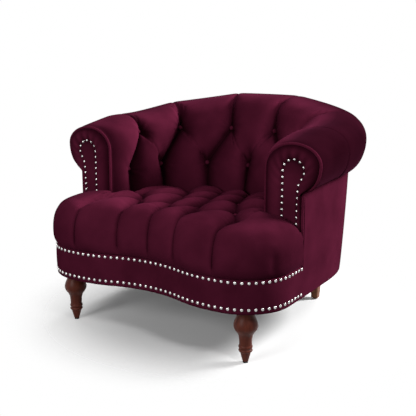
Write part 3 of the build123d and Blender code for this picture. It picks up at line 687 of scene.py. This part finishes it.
puff = seat.blow(full, spread, 1200)
for (n, x), (col, row) in spots.items():
    if n == 0:
        puff -= seat.crease((col, 0), (col, row - 3), *FRONT_CREASE)
        for swing, rise in FRONT_FAN:
            puff -= seat.crease((col + swing / 4, row + 2), (col + swing, row + rise), *FRONT_FAN_CREASE)
for start, end in seams:
    puff -= seat.crease(start, end, *SEAM_CREASE)
puff *= np.clip(seat.rows / 8, 0, 1)
for n, spot in enumerate(spots.values()):
    puff += gathers(seat_base, spot, *SEAT_GATHERS, 1.3 * n)
seat_normals = grid_normals(seat_base)
seat_normals[:FIRST_STEM, PIVOT_ROW - 2:] = (0, 0, 1)
seat_normals[LAST_STEM + 1:, PIVOT_ROW - 2:] = (0, 0, 1)
seat_skin = seat_base + seat_normals * puff[..., None]
seat_skin[..., 2] -= tuck

# Mesh of the seat: the skin, then the step over the foam and the floor
verts = list(seat_skin.reshape(-1, 3))
faces = []


def seat_index(col, row):
    """Number of a seat point; the rows of the ears all end in the pivot."""
    if row >= PIVOT_ROW and not FIRST_STEM <= col <= LAST_STEM:
        col = FIRST_STEM if col < FIRST_STEM else LAST_STEM
        row = PIVOT_ROW
    return col * SEAT_ROWS + row


def add_vert(x, y, z):
    verts.append(np.array([x, y, z]))
    return len(verts) - 1


for i in range(len(seat_skin) - 1):
    stem = FIRST_STEM <= i < LAST_STEM
    for j in range(SEAT_ROWS - 1 if stem else PIVOT_ROW):
        quad = [seat_index(i, j), seat_index(i + 1, j), seat_index(i + 1, j + 1), seat_index(i, j + 1)]
        faces.append(tuple(dict.fromkeys(quad)))
under = []
for i in range(FIRST_STEM, LAST_STEM + 1):
    x = seat_base[i, 0, 0]
    step_y = front_y(x, FRONT_OVERHANG) + SEAT_WALL
    step = ((seat_base[i, -1, 1], CORE_TOP), (step_y, CORE_TOP), (step_y, SEAT_FLOOR))
    under.append([add_vert(x, y, z) for y, z in step])
hinge = {}
for col in (FIRST_STEM, LAST_STEM):
    x, y = seat_base[col, PIVOT_ROW, :2]
    hinge[col] = (add_vert(x, y, CORE_TOP), add_vert(x, y, SEAT_FLOOR))
for n in range(len(under) - 1):
    i = FIRST_STEM + n
    (a0, b0, c0), (a1, b1, c1) = under[n], under[n + 1]
    faces.append((seat_index(i, SEAT_ROWS - 1), seat_index(i + 1, SEAT_ROWS - 1), a1, a0))
    start = [hinge[FIRST_STEM][0]] if i == FIRST_STEM else []
    end = [hinge[LAST_STEM][0]] if i + 1 == LAST_STEM else []
    faces.append(tuple([a0, a1] + end + [b1, b0] + start))
    faces.append((b0, b1, c1, c0))
    faces.append((c0, c1, seat_index(i + 1, 0), seat_index(i, 0)))
for col, end_col, step in ((FIRST_STEM, 0, -1), (LAST_STEM, len(seat_skin) - 1, 1)):
    high, low = hinge[col]
    a0, b0, c0 = under[0 if step < 0 else -1]
    faces.append(tuple([seat_index(col, j) for j in range(PIVOT_ROW, SEAT_ROWS)] + [a0, high]))
    faces.append((b0, c0, low, high))
    faces.append((c0, seat_index(col, 0), low))
    for i in range(col, end_col, step):
        faces.append((seat_index(i, 0), seat_index(i + step, 0), low))
    faces.append(tuple([seat_index(end_col, j) for j in range(PIVOT_ROW + 1)] + [high, low]))
seat_top = mesh_object("seat_cover_tufted", verts, faces)

# Painted light and shade on the seat: painted shade in the folds and highlight on the puffs, less side
# light painted on the slopes of the face, and painted shade toward the sides of the ears
SEAT_SHADES = [0.14, 0.48, 1.00, 1.34]
FACE_SIDE_LIGHT = 0.16
TOP_SIDE_LIGHT = 0.35
LEFT_EAR_DARK = 0.55
RIGHT_EAR_DARK = 0.32
EAR_DARK_SHARE = 0.6
seat_painted_light = painted_fold_light(puff, SEAT_SHADES, np.where(seat.rows < FACE_ROWS - 6, FACE_SIDE_LIGHT, TOP_SIDE_LIGHT))
ear_share = np.maximum(0, np.abs(seat.cols - SEAT_MID) - STEM_HALF) / EAR_COLS
ear_dark = np.where(seat.cols < SEAT_MID, LEFT_EAR_DARK, RIGHT_EAR_DARK)
seat_painted_light *= 1 - ear_dark * np.minimum(1, ear_share / EAR_DARK_SHARE)
set_painted_light(seat_top, np.r_[seat_painted_light.ravel(), np.ones(len(verts) - seat_painted_light.size)])
clean = bmesh.new()
clean.from_mesh(seat_top.data)
bmesh.ops.delete(clean, geom=[v for v in clean.verts if not v.link_faces], context="VERTS")
bmesh.ops.recalc_face_normals(clean, faces=clean.faces)
clean.to_mesh(seat_top.data)
clean.free()

# Foam inside the seat and the roll
FOAM_ROUND = 5.0
FOAM_RINGS = 41
FOAM_ROWS = (10, 12, 10)
FOAM_RUN = ARM_END_RUN - POST_THICK


def rounded_box(centre, half, radius):
    """Rectangle with rounded corners."""
    arcs = []
    for n, corner in enumerate(((1, 1), (-1, 1), (-1, -1), (1, -1))):
        at = centre + np.multiply(half - radius, corner)
        arcs.append(oval_arc(at, radius, 90 * n, 90 * n + 90, 5, True))
    return np.vstack(arcs)


def roll_foam(name, cols):
    rings = []
    for s in cols:
        floor = s.z_notch + PAD_ROLL
        foot = [(s.inside_r(floor, PAD_INSIDE), floor)]
        over = s.roll(PAD_INSIDE, PAD_ROLL, s.r_notch - CLEAR, FOAM_ROWS)
        rings.append(s.place(np.vstack([foot, over])))
    return closed_tube(name, np.stack(rings))


rings = []
for x in np.linspace(CLEAR - STEM_EDGE, STEM_EDGE - CLEAR, FOAM_RINGS):
    low = np.array([front_y(x, FRONT_OVERHANG) + SEAT_WALL + CLEAR, DECK_TOP])
    high = np.array([seat_back_y(abs(x)), CORE_TOP - CLEAR])
    section = rounded_box((low + high) / 2, (high - low) / 2, FOAM_ROUND)
    rings.append(np.insert(section, 0, x, axis=1))
seat_foam = closed_tube("seat_foam_block", np.stack(rings), True)
right_foam = [s for s in stations[SEAM:] if s.run < FOAM_RUN] + [Station(90.0, FOAM_RUN)]
left_foam = [Station(-90.0, FOAM_RUN)] + [s for s in stations[:SEAM_L + 1] if s.run < FOAM_RUN]
foams = [roll_foam("back_roll_filling", stations[SEAM_L:SEAM + 1:2]),
         roll_foam("arm_roll_filling_left", left_foam),
         roll_foam("arm_roll_filling_right", right_foam)]

# Border under the seat: heights, and how far it stands out of the front line
UPPER_NAIL_Z = 259.0
LOWER_NAIL_Z = 180.0
BORDER = 10.0
BORDER_TOP = DECK_TOP - 1
BORDER_COLS = 300
BORDER_FACE = ((BORDER_TOP, -4), (264, -0.5), (UPPER_NAIL_Z, 0.2), (250, 1.6), (238, 2.4), (220, 2.6),
               (200, 2.4), (188, 1.6), (LOWER_NAIL_Z, 0.2), (172, 0.6), (167, 0.4), (BASE_Z, -1.5))
BORDER_BACK = ((BASE_Z, -BORDER), (BORDER_TOP, -BORDER))
rings = []
for z, out in BORDER_FACE + BORDER_BACK:
    rings.append(np.insert(resample(front_path(out), BORDER_COLS), 2, z, axis=1))
border = closed_tube("front_border_cover", np.stack(rings[::-1], 1))

# Outside panels
PANEL = 8.0
PANEL_ROWS = 26
PANEL_SWELL = 2.4


def panel_mesh(name, cols):
    share = np.linspace(0, 1, PANEL_ROWS)
    puffed = PANEL_SWELL * np.sin(math.pi * share) ** 0.6 - 1.0 + 0.8 * share
    rings = []
    for s in cols:
        z = np.linspace(BASE_Z, s.z_notch - 0.2, PANEL_ROWS)
        outer = np.stack([s.panel_r(z) + puffed, z], 1)
        inner = np.stack([s.panel_r(z[::-6]) - PANEL, z[::-6]], 1)
        rings.append(s.place(np.vstack([outer, inner])))
    return closed_tube(name, np.stack(rings)[::-1])


outside = [panel_mesh("outside_arm_left_cover", stations[:SEAM_L + 1]),
           panel_mesh("outside_back_cover", stations[SEAM_L:SEAM + 1]),
           panel_mesh("outside_arm_right_cover", stations[SEAM:])]

# Arm fronts; their lines are (distance from the middle, height)
WELT_R = 4.0
WELT_EXTRA = 0.6
# Painted highlight along the welts
WELT_PAINTED_HIGHLIGHT = 1.25
FACE_FLOOR = 300.0
NAIL_FLOOR = FACE_FLOOR + 20
RIM_IN = 2 * WELT_R - 1
NAIL_LOOP = (393.0, 550.0)
NAIL_LOOP_R = 35.5
WAIST_IN = 20.0
WAIST_DROP = 50.0
TAIL_IN = 3.0
LOOP_POINTS = 160
FOOT_POINTS = 14
facing = Station(90.0, ARM_RUN)


def scroll(inset, floor):
    """Outline of the arm front from the inner foot to the outer foot, moved in by inset."""
    s = facing
    bend = WELT_R + inset
    bend_r, bend_z = s.r_notch + WELT_R, s.z_notch - WELT_R
    wall = [(s.r_top + inset, z) for z in np.linspace(floor, s.z_rise, 30, endpoint=False)]
    over = s.roll(inset, inset, bend_r, (24, 24, 21))[:-1]
    notch = oval_arc((bend_r, bend_z), bend, 90, 180, 8)
    down = [(bend_r - bend, z) for z in np.linspace(bend_z, floor, 20)]
    return np.vstack([wall, over, notch, down])


def hairpin(floor):
    """Line of the nails on the arm front: up, over the loop, in to the waist and down."""
    loop_x, loop_z = NAIL_LOOP
    wall = [(loop_x - NAIL_LOOP_R, z) for z in np.linspace(floor, loop_z, 30, endpoint=False)]
    over = oval_arc(NAIL_LOOP, NAIL_LOOP_R, 180, 0, 40)
    t = np.linspace(0, 1, 24, endpoint=False)
    ease = t * t * (3 - 2 * t)
    waist_x = loop_x + NAIL_LOOP_R - WAIST_IN
    down = np.stack([waist_x + WAIST_IN * (1 - ease), loop_z - WAIST_DROP * t], 1)
    tail = np.linspace((waist_x, loop_z - WAIST_DROP), (waist_x - TAIL_IN, floor), 20)
    return np.vstack([wall, over, down, tail])


def face_loop(line):
    """Closed loop on the arm front: the line and the foot between its ends."""
    across = np.linspace(line[-1], line[0], FOOT_POINTS)[1:-1]
    return np.insert(np.vstack([resample(line, LOOP_POINTS), across]), 1, 0.0, axis=1)


# Loops of the right arm front, from the rear edge over the puffed rim and the pad to the tip
RIM_LOOPS = 16
PAD_LOOPS = 9
RIM_SINK = 6.0
NAIL_SINK = 3.5
PAD_RISE = 3.0
RIM_PUFF = 15.0
FULL_RIM = 45.0
GATHER_SPAN = 22.0
GATHER_TURN = 0.9
GATHER_PUFF = 2.2
rim = face_loop(scroll(RIM_IN, FACE_FLOOR))
nails_at = face_loop(hairpin(NAIL_FLOOR))
centre = nails_at.mean(axis=0)
count = len(rim)
from_top = np.arange(count) - np.argmax(nails_at[:, 2])
wave = np.exp(-(from_top / GATHER_SPAN) ** 2) * np.cos(from_top * GATHER_TURN)
rim_width = np.clip(np.linalg.norm(nails_at - rim, axis=1) / FULL_RIM, 0.15, 1)
loops = [rim + (0, FACING_Y + FACING_THICK, 0)]
for k in range(RIM_LOOPS + 1):
    v = k / RIM_LOOPS
    drawn = min((k + 1) / RIM_LOOPS, 1.0)
    loop = rim + (nails_at - rim) * v
    loop[:, 1] = FACING_Y + RIM_SINK + (NAIL_SINK - RIM_SINK) * v
    loop[:, 1] -= RIM_PUFF * rim_width * math.sin(math.pi * v) ** 0.8
    loop[:, 1] -= GATHER_PUFF * wave * math.sin(math.pi * drawn) * drawn
    loops.append(loop)
for k in range(1, PAD_LOOPS):
    s = 1 - k / PAD_LOOPS
    loop = centre + (nails_at - centre) * s
    loop[:, 1] = FACING_Y + NAIL_SINK - PAD_RISE * (1 - s) ** 0.5
    loops.append(loop)
tip = (centre[0], FACING_Y + NAIL_SINK - PAD_RISE, centre[2])
face_verts = np.vstack(loops + [tip])
face_faces = ring_faces(len(loops), count)
inmost = (len(loops) - 1) * count
for j in range(count):
    face_faces.append((inmost + j, len(face_verts) - 1, inmost + (j + 1) % count))
face_faces.append(tuple(range(count)))

# Painted light and shade on the arm fronts: painted shade at the edge and along the nails, a painted
# highlight on the rim, and light and shade painted along the gathers by the nails
EDGE_SHADE = 0.35
GATHER_SHADE = 0.45
RIM_SHARES = [0, 0.1, 0.3, 0.8, 0.94, 1]
RIM_SHADES = [EDGE_SHADE, 0.45, 0.85, 1.25, 1.0, 0.5]
rim_painted_light = np.interp(np.arange(RIM_LOOPS + 1) / RIM_LOOPS, RIM_SHARES, RIM_SHADES)
pad_painted_shade = np.interp(np.arange(1, PAD_LOOPS), [1, 3], [0.75, 1.0])
loop_painted_light = np.r_[EDGE_SHADE, rim_painted_light, pad_painted_shade]
near_nails = np.interp(np.arange(len(loops)), [1, RIM_LOOPS - 1, RIM_LOOPS, RIM_LOOPS + 1], [0, 1, 1, 0])
face_painted_light = np.append(loop_painted_light[:, None] * (1 + GATHER_SHADE * near_nails[:, None] * wave), 1.0)


# Welts, nails and covered buttons
NAIL_R = 5.0
NAIL_H = 3.2
FACING_NAIL_H = 4.0
ROW_PITCH = 20.0
FACING_PITCH = 19.0
FACING_NAIL_FLOOR = 384.0
ROW_NAIL_LIFT = 0.3
FACING_NAIL_SINK = 3.4
FINE = 10
BACK_BUTTON = {"radius": 9.0, "height": 9.0, "sides": 16, "rings": 6}
SEAT_BUTTON = {"radius": 8.5, "height": 7.0, "sides": 16, "rings": 6}
BACK_BUTTON_SINK = 21.0
SEAT_BUTTON_SINK = 1.0
BUTTON_RIM = (6.5, 10.5)
UP = np.array([0.0, 0.0, 1.0])
AHEAD = np.array([0.0, -1.0, 0.0])


def cord(name, path, radius, flip, sides=12):
    """A round cord along a path in an upright plane across the chair."""
    side = unit(np.cross(np.gradient(path, axis=0), -AHEAD))
    turns = [2 * math.pi * k / sides for k in range(sides)]
    lines = [path + radius * (side * math.cos(a) - AHEAD * math.sin(a)) for a in turns]
    return closed_tube(name, np.stack(lines, 1), flip)


def dome(point, outward, up, radius, height, sides=12, rings=5):
    """Points and faces of a domed head on a surface."""
    u = unit(np.cross(up, outward))
    circle = oval_arc((0, 0), radius, 0, 360, sides) @ [u, np.cross(outward, u)]
    turns = [math.pi / 2 * k / rings for k in range(rings)]
    pts = [point + outward * height * math.sin(a) + circle * math.cos(a) for a in turns]
    pts = np.vstack(pts + [point + outward * height])
    faces = [(a, d, c, b) for a, b, c, d in ring_faces(rings, sides)]
    last = (rings - 1) * sides
    faces += [(last + m, last + (m + 1) % sides, rings * sides) for m in range(sides)]
    faces.append(tuple(range(sides))[::-1])
    return pts, faces


def gather_up(name, pieces):
    """One mesh of many heads."""
    verts, faces = [], []
    for pts, fs in pieces:
        first = len(verts)
        verts += list(pts)
        faces += [tuple(first + n for n in f) for f in fs]
    return mesh_object(name, np.array(verts), faces, 60.0)


def nail_places(line, pitch):
    """Places along a line, half a pitch from its ends, and the way of the line there."""
    length = np.linalg.norm(np.diff(line, axis=0), axis=1).sum()
    fine = resample(line, 2 * int(length / pitch) * FINE + 1)
    middles = np.arange(FINE, len(fine), 2 * FINE)
    return zip(fine[middles], fine[middles + 1] - fine[middles - 1])


def nail_row(name, z):
    heads = []
    for (x, y), way in nail_places(front_path(0.0), ROW_PITCH):
        out = unit(np.array([way[1], -way[0], 0.0]))
        heads.append(dome(np.array([x, y, z]) + out * ROW_NAIL_LIFT, out, UP, NAIL_R, NAIL_H))
    return gather_up(name, heads)


nails = [nail_row("upper_nailheads", UPPER_NAIL_Z), nail_row("lower_nailheads", LOWER_NAIL_Z)]
welt_line = scroll(WELT_R, COVER_FOOT)
welt_y = FACING_Y + FACING_THICK - WELT_R - 1.0
facings, welts, nail_loops = [], [], []
for side, name in ((1, "right"), (-1, "left")):
    own_faces = face_faces if side > 0 else turned_over(face_faces)
    facings.append(mesh_object("arm_facing_%s_cover" % name, face_verts * (side, 1, 1), own_faces))
    # painted light and shade of the arm front
    set_painted_light(facings[-1], face_painted_light)
    path = np.insert(welt_line * (side, 1), 1, welt_y, axis=1)
    welts.append(cord("arm_welt_%s_cord" % name, resample(path, 260), WELT_R + WELT_EXTRA, side > 0))
    # painted highlight on the welt
    set_painted_light(welts[-1], WELT_PAINTED_HIGHLIGHT)
    heads = []
    for (x, z), way in nail_places(hairpin(FACING_NAIL_FLOOR), FACING_PITCH):
        point = np.array([side * x, FACING_Y + FACING_NAIL_SINK, z])
        heads.append(dome(point, AHEAD, UP, NAIL_R, FACING_NAIL_H))
    nail_loops.append(gather_up("facing_nailheads_%s" % name, heads))

heads = []
for col, row in back_spots:
    j = int(round(row))
    out = normals[col, j]
    heads.append(dome(base[col, j] - out * BACK_BUTTON_SINK, out, UP, **BACK_BUTTON))
back_buttons = gather_up("back_covered_buttons", heads)
heads = []
for col, row in spots.values():
    x, y = seat_base[col, int(round(row)), :2]
    away = np.hypot(seat_skin[..., 0] - x, seat_skin[..., 1] - y)
    rim_z = seat_skin[(away > BUTTON_RIM[0]) & (away < BUTTON_RIM[1])][:, 2].mean()
    heads.append(dome(np.array([x, y, rim_z - SEAT_BUTTON_SINK]), UP, -AHEAD, **SEAT_BUTTON))
seat_buttons = gather_up("seat_covered_buttons", heads)

# Legs; the profile of the turned legs is (radius, height)
FRONT_LEG = (SIDE_X - 98.0, BULGE_Y + 70.0)
REAR_LEG = (265.0, AXIS_Y + 321.0)
REAR_FOOT = 24.0
REAR_TOP = 42.0
REAR_ROUND = 3.0
REAR_RINGS = 9
GLIDE_H = 5.0
REAR_LEG_TOP = BASE_Z - 1.2
FOOT_LINE = ((8.7, GLIDE_H), (10.4, 11), (12.6, 19), (14.6, 27), (15.8, 33))
BULB_LINE = ((18.8, 57), (19.0, 66), (19.6, 76), (21.8, 87), (26.0, 94), (31.5, 101), (35.6, 109),
             (36.4, 117), (34.6, 126), (31.0, 135), (27.2, 143), (26.0, 152), (26.0, 163.5))


def bead(r0, r1, z0, z1, out, count=8):
    """A rounded ring between two heights."""
    s = np.linspace(0, 1, count)
    return [(r0 + (r1 - r0) * k + out * math.sin(math.pi * k), z0 + (z1 - z0) * k) for k in s]


def turned_leg(name, at, sides=48):
    profile = list(resample(rounded(FOOT_LINE, 3), 14))
    profile += bead(18.2, 18.4, 34.0, 43.5, 2.6) + [(18.0, 44.0)]
    profile += bead(18.6, 18.6, 44.5, 56.0, 2.4)
    profile += list(resample(rounded(BULB_LINE, 3), 48))
    rings = [np.insert(oval_arc(at, r, 0, 360, sides), 2, z, axis=1) for r, z in profile]
    return closed_tube(name, np.stack(rings), True, 50.0)


def tapered_leg(name, at):
    """A square tapered leg with rounded edges."""
    rings = []
    for s in np.linspace(0, 1, REAR_RINGS):
        half = (REAR_FOOT + (REAR_TOP - REAR_FOOT) * s) / 2
        z = GLIDE_H + (REAR_LEG_TOP - GLIDE_H) * s
        rings.append(np.insert(rounded_box(at, half, REAR_ROUND), 2, z, axis=1))
    return closed_tube(name, np.stack(rings), True, 40.0)


legs = [turned_leg("front_leg_right_turned", FRONT_LEG),
        turned_leg("front_leg_left_turned", (-FRONT_LEG[0], FRONT_LEG[1])),
        tapered_leg("rear_leg_right_tapered", REAR_LEG),
        tapered_leg("rear_leg_left_tapered", (-REAR_LEG[0], REAR_LEG[1]))]


# Materials
def set_inputs(node, values):
    """Constant values of a node's sockets, by name."""
    for socket, value in values.items():
        node.inputs[socket].default_value = value


def add(nt, kind, links={}, values={}, **settings):
    """A new node with its settings, linked sockets and constant sockets."""
    node = nt.nodes.new("ShaderNode" + kind)
    for name, setting in settings.items():
        setattr(node, name, setting)
    for socket, source in links.items():
        nt.links.new(source, node.inputs[socket])
    set_inputs(node, values)
    return node


def new_material(name):
    m = bpy.data.materials.new(name)
    m.use_nodes = True
    nt = m.node_tree
    return m, nt, nt.nodes["Principled BSDF"], add(nt, "TexCoord").outputs["Object"]


def noise(nt, vector, scale, detail, stretch=None):
    """A cloudy pattern, drawn out where stretch is small."""
    if stretch is not None:
        vector = add(nt, "Mapping", {"Vector": vector}, {"Scale": stretch}).outputs["Vector"]
    return add(nt, "TexNoise", {"Vector": vector}, {"Scale": scale, "Detail": detail}).outputs["Fac"]


def two_tone(nt, fac, dark, light, low=0.3):
    """Colour from dark, up to the share low, to light, from the share 1 - low on."""
    ramp = add(nt, "ValToRGB", {"Fac": fac})
    first, second = ramp.color_ramp.elements
    first.position, first.color = low, dark + (1.0,)
    second.position, second.color = 1 - low, light + (1.0,)
    return ramp.outputs["Color"]


def bump(nt, bsdf, height, strength, distance):
    node = add(nt, "Bump", {"Height": height}, {"Strength": strength, "Distance": distance})
    nt.links.new(node.outputs["Normal"], bsdf.inputs["Normal"])


def velvet(name, dark, light, tint, sheen):
    """Velvet whose colour is scaled by the painted light and shade kept on the mesh."""
    m, nt, bsdf, at = new_material(name)
    colour = two_tone(nt, noise(nt, at, 11.0, 6.0), dark, light, 0.28)
    # painted light and shade from the mesh scales the base colour
    painted_light = add(nt, "Attribute", attribute_name="painted_light").outputs["Fac"]
    shaded_colour = add(nt, "VectorMath", {0: colour, "Scale": painted_light}, operation="SCALE")
    nt.links.new(shaded_colour.outputs["Vector"], bsdf.inputs["Base Color"])
    set_inputs(bsdf, {"Roughness": 0.9, "Specular IOR Level": 0.0})
    set_inputs(bsdf, {"Sheen Weight": sheen, "Sheen Roughness": 0.4, "Sheen Tint": tint + (1.0,)})
    bump(nt, bsdf, noise(nt, at, 700.0, 2.0), 0.25, 0.0006)
    return m


def surface(name, dark, light, pattern, values, grain=None):
    """Two tones in a noise pattern, with the strength and distance of its grain."""
    m, nt, bsdf, at = new_material(name)
    fac = noise(nt, at, *pattern)
    nt.links.new(two_tone(nt, fac, dark, light), bsdf.inputs["Base Color"])
    set_inputs(bsdf, values)
    if grain:
        bump(nt, bsdf, fac, *grain)
    return m


def wood(name, dark, light, rough):
    values = {"Roughness": rough, "Specular IOR Level": 0.12}
    return surface(name, dark, light, (9.0, 6.0, (9.0, 9.0, 0.8)), values, (0.05, 0.001))


def metal(name, dark, light, rough):
    return surface(name, dark, light, (90.0, 3.0), {"Metallic": 1.0, "Roughness": rough})


def matte(name, dark, light, scale, stretch=None):
    values = {"Roughness": 0.9, "Specular IOR Level": 0.2}
    return surface(name, dark, light, (scale, 4.0, stretch), values, (0.3, 0.001))


TINT = (0.80, 0.14, 0.34)
mats = {
    "velvet": velvet("plum_velvet", (0.058, 0.0066, 0.0180), (0.088, 0.0102, 0.0275), TINT, 0.05),
    "foam": matte("pale_foam", (0.62, 0.55, 0.38), (0.74, 0.68, 0.5), 160.0),
    "burlap": matte("jute_cloth", (0.30, 0.22, 0.12), (0.45, 0.35, 0.2), 220.0, (1.0, 1.0, 4.0)),
    "webbing": matte("jute_strap", (0.33, 0.24, 0.12), (0.5, 0.39, 0.22), 180.0, (3.0, 1.0, 1.0)),
    "frame_wood": wood("pale_frame_wood", (0.42, 0.28, 0.15), (0.58, 0.42, 0.25), 0.7),
    "turned_wood": wood("cherry_wood", (0.066, 0.014, 0.0085), (0.130, 0.029, 0.0165), 0.42),
    "plain_wood": wood("brown_wood", (0.11, 0.038, 0.018), (0.19, 0.075, 0.036), 0.4),
    "nail_metal": metal("pewter", (0.34, 0.335, 0.33), (0.58, 0.57, 0.56), 0.2),
    "bolt_steel": metal("zinc_steel", (0.45, 0.46, 0.48), (0.62, 0.63, 0.65), 0.35),
    "glide_plastic": matte("black_plastic", (0.012, 0.012, 0.012), (0.03, 0.03, 0.03), 60.0),
    "dust_cloth": matte("black_cloth", (0.010, 0.010, 0.011), (0.022, 0.022, 0.024), 300.0),
}


# Pieces and the nodes they stand for
def dress(ob, slot, nodes):
    # velvet pieces without painted light and shade get an even value of one
    if slot == "velvet" and "painted_light" not in ob.data.attributes:
        set_painted_light(ob, 1.0)
    ob.data.materials.append(mats[slot])
    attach(ob, "root")
    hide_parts(*nodes)


INSIDE = ["inside_back", "inside_wing_left", "inside_wing_right", "inside_arm_left", "inside_arm_right"]
dress(back_cover, "velvet", INSIDE)
dress(seat_top, "velvet", ["seat_cover"])
dress(border, "velvet", ["front_border"])
for piece, node in zip(outside, ("outside_arm_left", "outside_back", "outside_arm_right")):
    dress(piece, "velvet", [node])
for piece, node in zip(nails, ("upper_nails", "lower_nails")):
    dress(piece, "nail_metal", [node])
for n, side in enumerate(("right", "left")):
    dress(facings[n], "velvet", ["arm_facing_" + side])
    dress(welts[n], "velvet", ["arm_welt_" + side])
    dress(nail_loops[n], "nail_metal", ["facing_nails_" + side])
    dress(legs[n], "turned_wood", ["front_leg_" + side])
    dress(legs[n + 2], "plain_wood", ["rear_leg_" + side])
dress(back_buttons, "velvet", ["back_buttons"])
dress(seat_buttons, "velvet", ["seat_buttons"])
dress(seat_foam, "foam", ["seat_foam"])
for piece, node in zip(foams, ("back_roll_foam", "arm_roll_foam_left", "arm_roll_foam_right")):
    dress(piece, "foam", [node])

# Nodes that stay, with their materials
kept = {
    "burlap": ["back_sheet", "arm_sheet_left", "arm_sheet_right", "seat_deck"],
    "webbing": ["long_straps", "cross_straps"],
    "frame_wood": ["front_rail", "rear_rail", "side_rail_left", "side_rail_right", "corner_blocks",
                   "back_posts", "back_top_rail", "arm_post_left", "arm_post_right",
                   "arm_top_rail_left", "arm_top_rail_right"],
    "bolt_steel": ["leg_bolts"],
    "glide_plastic": ["leg_glides"],
    "dust_cloth": ["dust_cover"],
}
for slot, names in kept.items():
    for name in names:
        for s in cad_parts[name].material_slots:
            s.material = mats[slot]

# Floor that fades into the white round the chair, between two distances in metres
FLOOR_HALF = 30000.0
FADE = {"From Min": 0.34, "From Max": 0.74, "To Min": 0.04}
corners = [(x * FLOOR_HALF, y * FLOOR_HALF, 0) for x, y in ((-1, -1), (1, -1), (1, 1), (-1, 1))]
floor = mesh_object("floor", corners, [(0, 1, 2, 3)])
floor_values = {"Roughness": 0.9, "Specular IOR Level": 0.0}
floor_mat = surface("pale_floor", (0.90, 0.90, 0.90), (0.92, 0.92, 0.92), (3.0, 4.0), floor_values)
nt = floor_mat.node_tree
away = add(nt, "VectorMath", {0: nt.nodes["Texture Coordinate"].outputs["Object"]}, operation="LENGTH")
edge = add(nt, "MapRange", {"Value": away.outputs["Value"]}, FADE, interpolation_type="SMOOTHSTEP")
shown = nt.nodes["Principled BSDF"].outputs["BSDF"]
clear = add(nt, "BsdfTransparent").outputs["BSDF"]
blend = add(nt, "MixShader", {"Fac": edge.outputs["Result"], 1: shown, 2: clear})
nt.links.new(blend.outputs["Shader"], nt.nodes["Material Output"].inputs["Surface"])
floor.data.materials.append(floor_mat)

# World: white where it is seen, straight or in the nails, and a dim fill elsewhere
world = bpy.data.worlds.new("studio")
bpy.context.scene.world = world
world.use_nodes = True
nt = world.node_tree
sky = nt.nodes["Background"]
set_inputs(sky, {"Color": (1.0, 1.0, 1.0, 1.0)})
ray = add(nt, "LightPath").outputs
seen = add(nt, "Math", {0: ray["Is Camera Ray"], 1: ray["Is Glossy Ray"]}, operation="MAXIMUM")
bright = add(nt, "Math", {0: seen.outputs["Value"]}, {1: 0.05}, operation="MAXIMUM")
nt.links.new(bright.outputs["Value"], sky.inputs["Strength"])

# Lights: name, place and size in metres, and power in watts
LIGHT_TARGET = np.array([0.0, 0.0, 0.4])
LIGHTS = (
    ("key_light", (2.164, 1.816, 1.902), 1.0, 152.0),
    ("side_light", (2.14, -1.34, 2.37), 0.7, 27.0),
    ("front_light", (-0.53, -3.00, 1.39), 1.4, 42.0),
    ("top_light", (-0.92, 1.59, 3.02), 1.2, 52.0),
    ("left_light", (-2.94, 0.79, 1.39), 2.0, 14.0),
)
for name, at, size, power in LIGHTS:
    data = bpy.data.lights.new(name, "AREA")
    data.shape = "DISK"
    data.size = size
    data.energy = power
    ob = new_object(name, data)
    ob.location = at
    ob.rotation_euler = Vector(LIGHT_TARGET - at).to_track_quat("-Z", "Y").to_euler()

# Camera, fitted to the photograph; its focal length is in pixels
PHOTO_WIDTH = 416.0
FOCAL = 749.5
SENSOR = 36.0
CAMERA_AT = (1.3404, -2.1466, 0.9200)
CAMERA_DOWN = 12.603
CAMERA_TURN = 32.655
cam_data = bpy.data.cameras.new("camera")
cam_data.sensor_width = SENSOR
cam_data.lens = FOCAL / PHOTO_WIDTH * SENSOR
cam = new_object("camera", cam_data)
cam.location = CAMERA_AT
cam.rotation_euler = (math.radians(90.0 - CAMERA_DOWN), 0.0, math.radians(CAMERA_TURN))
bpy.context.scene.camera = cam
bpy.context.scene.view_settings.view_transform = "Standard"

bpy.context.view_layer.update()
